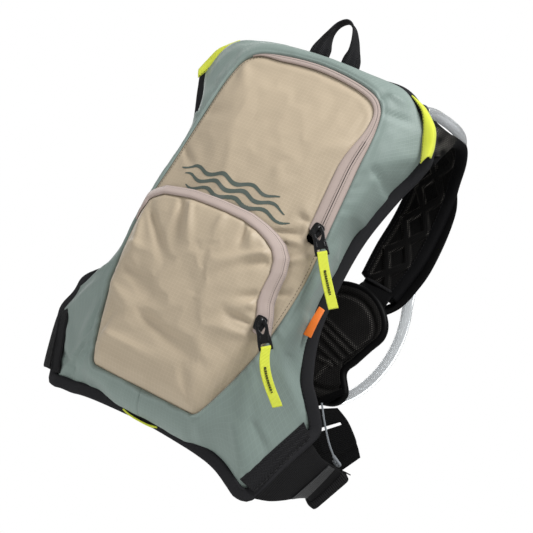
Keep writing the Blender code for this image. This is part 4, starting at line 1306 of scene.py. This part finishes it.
def make_tab(name, bar, across, out, hang):
    """Webbing folded round the puller's bar and sewn together by a box of thread."""
    steps = np.linspace(0, 1, 64)[:, None]
    length = TAB_LENGTH - 4
    bow = PULLS[name]["bow"] * np.sin(steps * 3.4) * steps
    sway = across * -PULLS[name]["sway"] * np.sin(pi * steps ** 0.8)
    front = bar + sway + hang * (steps * length) + out * (2.4 - 0.8 * steps + bow)
    rear = bar + sway + hang * (steps * (length - 3)) - out * (1.7 - 0.2 * steps - bow)
    turn = np.linspace(0, pi, 12)[1:-1, None]
    eye = bar + out * (0.35 + 2.05 * np.cos(turn)) - hang * 2.0 * np.sin(turn)
    path = np.vstack([front[::-1], eye, rear])
    grid = path[:, None] + across * TAB_HALF_WIDTH * np.linspace(-1, 1, 15)[None, :, None]
    panel(name + "_tab_webbing", grid, 1.7, "neon_webbing", name + "_tab", name + "_zip_pull_tab")
    top = front + out * 1.1
    for offset in (-0.6, 0.6):
        sew("%s_tab_stitches_%d" % (name, offset > 0), top[20:48] + across * offset, out, name + "_tab",
            length=1.9, gap=0.3, radius=0.42, lift=0.1)
    for end, step in (("top", 20), ("low", 47)):
        line = top[step] + across * np.linspace(-0.9, 0.9, 9)[:, None]
        rod("%s_tab_tack_%s" % (name, end), line, oval(1.0, 0.9, 8, 2), out, "black_binding", name + "_tab",
            look="seam_thread")


SLIDER_WIDTHS = [(6.6, 3.0), (4.8, 5.0), (0, 5.1), (-4, 4.4), (-6.4, 3.4)]
BRIDGE_ARCH = [(-5.0, 2.0), (-4.2, 3.6), (-2.4, 4.7), (0, 5.0), (2.4, 4.7), (4.2, 3.6), (5.0, 2.0)]


def make_slider(name):
    """Slider: two plates that are wider at its front, a core between them, and a bridge for the puller."""
    node, body = name + "_zip_slider", name + "_slider"
    low, high = (np.array(corner) / MM + HANG_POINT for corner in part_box(node))
    out = unit(PULLS[name]["out"])
    across_x, up_z = PULLS[name]["along"]
    along = unit((across_x, 0, up_z))
    along = unit(along - np.dot(along, out) * out)
    across = np.cross(out, along)
    centre = (low + high) / 2 - out * 0.9
    for word, level, size in (("base", -1.4, 1.0), ("top", 1.3, 0.94)):
        part = plate("%s_slider_%s" % (name, word), [pull_outline(SLIDER_WIDTHS) * size], 1.5)
        placed(part, centre + out * level, across, along, out)
        dress(part, "zip_metal", body, node if level > 0 else None)
    line = smooth([centre + along * a + out * b for a, b in BRIDGE_ARCH], 8)
    rod(name + "_slider_bridge", line, oval(3.6, 1.4, 16, 3), out, "zip_metal", body)
    line = centre + along * np.linspace(2.4, 5.4, 12)[:, None]
    rod(name + "_slider_core", line, oval(3.6, 0.9, 16, 4), out, "zip_metal", body)


# ---------------------------------------------------------------- harness

ARM_EDGE = [
    (133, 30, 345), (132, 44, 364), (130, 62, 382), (130, 81, 391), (131, 97, 392), (131, 113, 382),
    (129, 128, 364), (129, 139, 342), (129, 145, 304), (128, 144, 272), (121, 141, 229),
]
NECK_EDGE = [
    (90, 30, 394), (87, 50, 402), (84, 74, 404), (81, 98, 396), (79, 120, 377), (78, 137, 346),
    (76, 145, 312), (74, 144, 278), (75, 142, 246),
]
OUTER_LAYER = [
    (124, 135, 358), (130, 143, 340), (133, 147, 309), (133, 148, 273), (129, 147, 248), (124, 146, 231),
    (117, 144, 220), (108, 141, 211),
]
PANEL_OUTLINE = [
    (54, 110), (48, 135), (47, 190), (53, 212), (70, 224), (96, 227), (118, 219), (134, 203), (138, 187),
    (131, 170), (124, 153), (119, 140), (131, 120), (121, 104), (88, 100),
]
PANEL_Y = 118.0
STRAP_THICKNESS = 8.0


def zigzag(s, period, reach):
    """Triangle wave from -reach to reach."""
    return reach * (4 * np.abs(s / period - np.floor(s / period + 0.5)) - 1)


def strap_frame(side):
    """A shoulder strap's two edges, the directions across it and towards the wearer, and lengths along it."""
    arm, neck = (resample(smooth(mirror(edge, side), 12), 170) for edge in (ARM_EDGE, NECK_EDGE))
    middle = (arm + neck) / 2
    across = unit(neck - arm)
    along = unit(np.gradient(middle, axis=0))
    out = facing(unit(np.cross(along, across)), np.array((100.0 * side, 70, 300)) - middle)
    return arm, neck, across, out, lengths(middle)


def make_strap(side, word, body):
    """Shoulder strap: padded lens with mesh on its inner face, pressed with crossing bands."""
    arm, neck, _, out, s = strap_frame(side)
    width = np.linalg.norm(neck - arm, axis=1)
    share = np.linspace(0.05, 0.95, 56)
    edge = 1 - np.abs(2 * share - 1) ** 5
    flat = (share[None] - 0.5) * width[:, None]
    swing = zigzag(s[-1] - s + 4, 78, 15)[:, None]
    bands = np.minimum(np.abs(flat - swing), np.abs(flat + swing))
    border = width[:, None] / 2 - np.abs(flat)
    raised = np.maximum(1 - ramp(bands, 3.6, 5.0), 1 - ramp(border, 7.5, 9.5))
    height = STRAP_THICKNESS / 2 * (0.45 + 0.55 * edge)[None] * np.ones_like(flat)
    grid = between(arm, neck, share)
    inner = grid + out[:, None] * (height - 2.4 * (1 - raised) * ramp(edge, 0.3, 0.9)[None] + 0.2)[..., None]
    uv = np.stack(np.broadcast_arrays(flat, s[:, None]), -1)
    # Painted highlight for the mesh: pale along the pressed bands' rims, brighter on one half of the strap
    # where the light falls, and along the border, uneven at random
    highlight_rims = np.exp(-((bands - 4.8) / 1.1) ** 2) * (0.6 + 0.4 * np.sign(flat))
    highlight_rims += np.exp(-((border - 9.5) / 1.1) ** 2)
    panel(word + "_strap_mesh", inner, MESH_THICKNESS, "air_mesh", body, word + "_shoulder_strap", uv=uv,
          lit=np.clip(highlight_rims, 0, 1) * (0.55 + 0.45 * rough(inner, 26, 2)), bend=HARNESS_BEND)
    panel(word + "_strap_shell", grid - out[:, None] * height[..., None], MESH_THICKNESS, "black_webbing",
          body, uv=uv, bend=HARNESS_BEND, look="outer_fabric")


def make_root_mesh(side, word, body):
    """Mesh gusset between a strap's root and the pack's side."""
    near = mirror([(123, 22, 382), (130, 22, 366), (134, 22, 353)], side)
    far = mirror([(141, 42, 385), (139.5, 42, 375), (135, 42, 362)], side)
    near, far = resample(smooth(near, 10), 40), resample(smooth(far, 10), 40)
    grid = between(near, far, np.linspace(0, 1, 30))
    # lit is a painted highlight on the gusset's mesh, uneven at random
    panel(word + "_root_mesh", grid, 1.0, "air_mesh", body, lit=np.clip(0.3 + 0.6 * rough(grid, 9, 5), 0, 1),
          bend=HARNESS_BEND)


def make_strap_hems(side, word, body):
    """Bindings along a strap's edges and round its end, and the outer layer beside it."""
    arm, neck, across, out, _ = strap_frame(side)
    for line, label, wide in ((arm, "arm", 13.0), (neck, "neck", 8.0)):
        inward = across if label == "arm" else -across
        rod(word + "_strap_%s_hem" % label, line + inward * wide * 0.36,
            oval(wide, STRAP_THICKNESS + 2.2, 24, 2.6), out, "black_binding", body,
            "%s_strap_%s_binding" % (word, label), look="strap_hem", bend=HARNESS_BEND)
        rim = line + inward * (wide * 0.36 + wide * 0.30)
        sew(word + "_%s_hem_stitches" % label, rim, out, body, bend=HARNESS_BEND,
            lift=STRAP_THICKNESS / 2 + 0.5)
    end = smooth([neck[-1] + across[-1] * -0.5, neck[-1] * 0.6 + arm[-1] * 0.4 + (0, 0, -1.5),
                  arm[-1] * 0.75 + neck[-1] * 0.25 + (0, 0, -1.5), arm[-1] + across[-1] * 2], 12)
    rod(word + "_strap_end_hem", end, oval(7.5, STRAP_THICKNESS + 1.6, 20, 2.4), out[-1], "black_binding",
        body, look="strap_hem")
    rod(word + "_strap_outer_layer", smooth(mirror(OUTER_LAYER, side), 14), oval(10, 4.0, 16, 3), out[-1],
        "black_webbing", body, look="outer_fabric")


FIELD_RIDGES = [
    ((74, 181), (122, 164)), ((75, 173), (117, 158)), ((76, 165), (111, 151)), ((76, 154), (108, 144)),
    ((86, 142), (104, 140)), ((99, 143), (94, 119)),
]


def vest_line(side):
    """Outline of a vest panel, round the same way on both sides."""
    line = resample(smooth([(x, 0, z) for x, z in PANEL_OUTLINE], 12, closed=True), 360, closed=True)
    return line[::-1] if side > 0 else mirror(line, -1)


def make_vest_faces(side, word, body):
    """Vest panel's mesh field, with pressed ridges inside a groove, and its plain outer face."""
    line = vest_line(side)
    corners = [(x * side, z) for x, z in ((56, 106), (122, 108), (122, 214), (60, 216))]
    corners = corners if side > 0 else [corners[1], corners[0], corners[3], corners[2]]
    flat = filled(inset(line, 5.5), corners, 90, 120)
    x, z = flat[..., 0], flat[..., 1]
    share, _ = Outline(line, (90.0 * side, 165.0)).share(x, z)
    away = (1 - share) * VEST_REACH
    dome = 3.6 * ramp(away, -3, 9) - 2.4 * np.exp(-((away - 10) / 2.2) ** 2) + 1.6
    for (ax, az), (bx, bz) in FIELD_RIDGES:
        t, off = beside(x, z, (ax * side, az), (bx * side, bz))
        ends = ramp(t, -0.1, 0.05) * (1 - ramp(t, 0.95, 1.1)) * ramp(away, 9, 13)
        dome = dome + 1.5 * np.exp(-(off / 2.0) ** 2) * ends
    # Painted highlight for the mesh: pale along the field's groove edge towards its top and on the raised
    # ridges, uneven at random
    border = 0.35 * np.exp(-((away - 12.5) / 0.9) ** 2) * ramp(z, 150, 190)
    highlight_rims = border + 0.3 * ramp(dome, 5.4, 6.4) + 0.1
    lit = np.clip(highlight_rims, 0, 1) * (0.6 + 0.4 * rough(upright(x, z), 20, 3))
    panel(word + "_vest_mesh", np.stack([x, PANEL_Y - dome, z], -1), MESH_THICKNESS, "air_mesh", body,
          word + "_vest_panel", uv=flat, flip=True, lit=lit)
    panel(word + "_vest_outer", np.stack([x, PANEL_Y + 2.2 + 1.6 * ramp(away, -3, 9), z], -1), MESH_THICKNESS,
          "black_webbing", body, uv=flat, look="outer_fabric")


def make_vest_rim(side, word, body):
    """Vest panel's bound rim, its seam, and the flap at its lower corner."""
    line = vest_line(side)
    rod(word + "_vest_rim", inset(line, 4.4) + (0, PANEL_Y, 0), oval(9.4, 8.6, 24, 2.4), (0, -1, 0),
        "black_binding", body, look="smooth_rim", closed=True)
    sew(word + "_vest_stitches", inset(line, 10.4) + (0, PANEL_Y - 1.6, 0), (0, -1, 0), body, lift=0.9,
        closed=True)
    flap = [mirror([(109, 113, 107), (118, 112, 116), (128, 111, 125)], side),
            mirror([(110, 111, 97), (120, 110, 106), (131, 110, 121)], side)]
    band(word + "_vest_flap", flap, (26, 10), 1.8, 1.2, "black_binding", body, look="outer_fabric")


def make_drop_strap(side, word, body):
    """Flat strap from the shoulder strap's end down to the vest panel, with two rungs over it."""
    drop = np.array([(96, 148, 262), (97, 147, 246), (99, 140, 236), (101, 130, 230), (102, 124, 220),
                     (102, 123, 205)])
    half = np.array([(20, 0, 0), (20, 0, 0), (19, 0, 0), (19, 0, 0), (19, 0, 0), (19, 0, 0)])
    band(word + "_drop_strap", (mirror(drop - half, side), mirror(drop + half, side)), (60, 16), 1.8, 0.0,
         "black_webbing", body, word + "_drop_webbing", look="outer_fabric")
    for height, spread in ((240, 17), (233, 16)):
        row = [(100 - spread, 138, height), (100, 137, height - 2), (100 + spread, 138, height - 4)]
        rod("%s_drop_rung_%d" % (word, height), resample(smooth(mirror(row, side), 10), 40),
            oval(3.4, 2.2, 12, 2.4), (0, -1, 0), "black_webbing", body)


def make_side_band(side, word, body):
    """Wide elastic from the wing round the wearer's side, its corded edges and its grip patch."""
    top = mirror([(152, 27, 61), (156, 38, 56), (161, 56, 51), (170, 76, 50), (173, 86, 49)], side)
    low = mirror([(136, 16, -11), (144, 28, -7), (150, 44, 0), (154, 62, 8), (157, 76, 12), (159, 86, 12)],
                 side)
    if side < 0:
        top[:3] = (-150, 27, 64), (-160, 38, 59), (-163, 56, 54)
        low[:4] = (-124, 16, 7), (-140, 30, 7), (-148, 44, 7), (-153, 62, 9)
    grid, normal = band(word + "_side_band", (top, low), (60, 30), 2.6, 1.5, "elastic", body,
                        word + "_side_elastic", out=(side, 0, 0), bend=WING_BEND)
    for share in (0.03, 0.97):
        rod("%s_side_edge_%d" % (word, share * 100), grid[:, int(round(share * 29))], oval(1.6, 1.6, 10, 2),
            normal[:, 0], "elastic", body, bend=WING_BEND)
    strip = (grid[39:48, 1] + normal[39:48, 1] * 2.2, grid[31:49, 28] + normal[31:49, 28] * 2.2)
    band(word + "_grip_strip", strip, (30, 20), 1.4, 0.8, "grip_patch", body, word + "_grip_patch",
         out=(side, 0, 0), bend=WING_BEND)


def make_roll(side, word, body):
    """The elastic's end folded into a roll, with the spiral of its layers on top."""
    start, end = np.array((176.0 * side, 90.5, 50)), np.array((157.0 * side, 90.5, 7))
    steps = np.linspace(0, 1, 40)
    ends = np.sqrt(np.clip(1 - np.abs(2 * steps - 1) ** 14, 0, 1)) * 0.75 + 0.25
    turn = np.linspace(0, 2 * pi, 36, endpoint=False)
    lobes = np.column_stack([(7.4 + 0.7 * np.cos(2 * turn)) * np.cos(turn),
                             (5.4 + 0.9 * np.sin(3 * turn)) * np.sin(turn)])
    rod(word + "_folded_elastic", start + (end - start) * steps[:, None], lobes, (0, -1, 0), "elastic", body,
        word + "_elastic_roll", scale=ends)
    spiral = np.linspace(0.4, 3.4 * pi, 60)
    radius = 1.0 + 4.6 * spiral / spiral[-1]
    path = start + unit(start - end) * 0.6
    path = path + np.column_stack([radius * np.cos(spiral) * 1.2 * side, radius * np.sin(spiral), 0 * spiral])
    rod(word + "_folded_elastic_end", path, oval(1.3, 1.0, 8, 2), (0, 0, 1), "elastic", body)


def make_tail_band(side, word, body):
    """Wide band from the vest panel to the roll, with a slot that the retainer passes."""
    outer = smooth(mirror([(131, 110, 104), (148, 104, 97), (166, 99, 84), (180, 95.5, 70)], side), 20)
    inner = smooth(mirror([(100, 112, 89), (115, 107, 69), (134, 102, 52), (161, 96, 37)], side), 20)
    across = np.linspace(0, 1, 31)
    grid = between(outer, inner, across)
    creases = np.exp(-((np.linspace(0, 1, 61)[:, None] - 0.74 - 0.1 * across[None]) / 0.03) ** 2)
    grid[..., 1] -= 1.6 * creases
    rows, columns = grid.shape[:2]
    faces = [f for f in grid_faces(rows, columns) if not in_slot(f[0] // columns, f[0] % columns)]
    piece = mesh_piece(word + "_tail_webbing", grid, faces, grid_uv(grid))
    thicken(piece, 2.0)
    dress(piece, "elastic", body, word + "_tail_band", look="dark_elastic")


def make_sternum_strap(side, word, body):
    """One half of the sternum strap, up to its buckle."""
    strap = np.array([(92, 122.6, 190), (72, 123.4, 190), (56, 125.5, 190), (44, 127.0, 190)])
    edges = [mirror(strap + (0, 0, half), side) for half in (-10, 10)]
    band(word + "_sternum_strap", edges, (50, 12), 1.6, 0.0, "black_webbing", body, word + "_sternum_webbing")


def in_slot(row, column):
    """Whether a face of the tail band is left out for its slot."""
    return 19 <= row <= 22 and 5 <= column <= 24


def make_retainer():
    """Thin elastic cord that ties the vest panel to the side wing, with its knot."""
    line = smooth([(117, 101, 101), (130, 96, 86), (144, 92.5, 71), (156, 88.5, 61), (166, 85.5, 55)], 12)
    knot = smooth([(160, 84, 59), (165, 80.5, 57), (170, 83, 54), (166, 87, 53), (161, 85, 56)], 8)
    rod("retainer_elastic", line, oval(2.0, 1.8, 12, 2), (0, -1, 0), "retainer_cord", "right_harness",
        "elastic_retainer")
    rod("retainer_knot", knot, oval(3.2, 2.6, 12, 2), (0, -1, 0.2), "retainer_cord", "right_harness")


def make_front_seam(front):
    """Row of stitches just inside the beige panel's edge."""
    line = resample(inset(FRONT_LINE, 1.6), 900, closed=True) - (0, 3, 0)
    spots, normals = on_surface(front)(line)
    sew("front_seam_stitches", spots, facing(normals), "pack", "beige_ripstop", length=1.9, gap=1.5,
        radius=0.2, lift=0.1, closed=True)


# Left end, right end and height of each printed stripe
WAVE_SPANS = [(-78, 40, 246), (-70, 52, 237), (-62, 60, 228)]


def make_print(front):
    """Three wavy stripes printed above the pocket, plain ornament."""
    drop = on_surface(front)
    t = np.linspace(0, 1, 150)
    for row, (x0, x1, z0) in enumerate(WAVE_SPANS):
        x = np.linspace(x0, x1, 150)
        z = z0 + 2.6 * np.sin(x / 34 * 2 * pi + row) - 3.0 * (1 - t) ** 2
        half = 2.3 * np.sin(pi * np.clip(t, 0.004, 0.996)) ** 0.35
        grid = []
        for share in np.linspace(-1, 1, 5):
            spots, normals = drop(np.column_stack([x, front_y(x, z) - 3, z + half * share]))
            grid.append(spots + facing(normals) * 0.22)
        piece = surface("printed_wave_%d" % row, np.array(grid))
        dress(piece, "beige_ripstop", "pack", look="wave_print")


# ---------------------------------------------------------------- back

def make_back_mesh():
    """Back panel of mesh, as the wearer's back meets it."""
    edge = BACK_EDGE.at(np.linspace(-pi / 2, 1.5 * pi, 361))
    shares = np.linspace(1.03, 0.0, 46)[:, None]
    x = edge[None, :, 0] * shares
    z = CENTRE_Z + (edge[None, :, 2] - CENTRE_Z) * shares
    y = 8.2 + (edge[None, :, 1] - 7.0) * shares ** 3
    y = y + 0.5 * rough(upright(x, z), 30, 4) * (1 - shares ** 8)
    panel("back_mesh", np.stack([x, y, z], -1), MESH_THICKNESS, "air_mesh", "pack", "back_panel",
          uv=np.stack([x, z], -1))


def make_back_pad():
    """Padded frame on the back panel, with air channels down its middle and across it."""
    rim = plate_line(61, 145, 26, (0, 205))
    flat = filled(rim, [(-52, 64), (52, 64), (52, 346), (-52, 346)], 90, 200)
    x, z = flat[..., 0], flat[..., 1]
    share, _ = Outline(rim, (0.0, 205.0)).share(x, z)
    away = (1 - share) * PAD_REACH
    channel = np.exp(-(x / 5.5) ** 2)
    for height in (118, 176, 234, 292):
        slant = z - height + 0.28 * np.abs(x)
        channel = np.maximum(channel, np.exp(-(slant / 4.5) ** 2))
    thick = 10.5 * ramp(away, -2.5, 9) * (1 - 0.62 * channel)
    panel("back_pad_mesh", np.stack([x, 9.6 + thick, z], -1), MESH_THICKNESS, "air_mesh", "pack", "back_pad",
          uv=flat)
    rod("back_pad_edge", rim + (0, 10.2, 0), oval(4.2, 3.4, 14, 2.2), (0, 1, 0), "black_binding", "pack",
        closed=True)


def plate_line(half_width, half_height, radius, centre):
    """Rounded rectangle in the XZ plane, anticlockwise from its bottom middle as seen from the front."""
    points = []
    for sx, sz, first in ((1, -1, -pi / 2), (1, 1, 0), (-1, 1, pi / 2), (-1, -1, pi)):
        for turn in np.linspace(first, first + pi / 2, 9):
            points.append((centre[0] + sx * (half_width - radius) + radius * cos(turn), 0,
                           centre[1] + sz * (half_height - radius) + radius * sin(turn)))
    return resample(np.array(points), 360, closed=True)


# ---------------------------------------------------------------- everything in place

make_studio(*make_camera())
make_hose()
make_shell()
front_panel = make_front()
make_print(front_panel)
make_front_seam(front_panel)
make_main_tape()
make_pocket_panel()
make_pocket_band()
make_back_binding()
make_back_mesh()
make_back_pad()
for side, word in ((1, "right"), (-1, "left")):
    make_corner_trim(side, word)
    make_wing_band(side, word)
make_bottom_loop()
for name in ("main", "pocket"):
    make_slider(name)
    make_pull(name)
make_label()
make_haul_loop()
for side, word in ((1, "right"), (-1, "left")):
    for make in (make_strap, make_root_mesh, make_strap_hems, make_vest_faces, make_vest_rim, make_drop_strap,
                 make_side_band, make_roll, make_tail_band, make_sternum_strap):
        make(side, word, word + "_harness")
make_retainer()
make_reservoir()
finish_fittings()
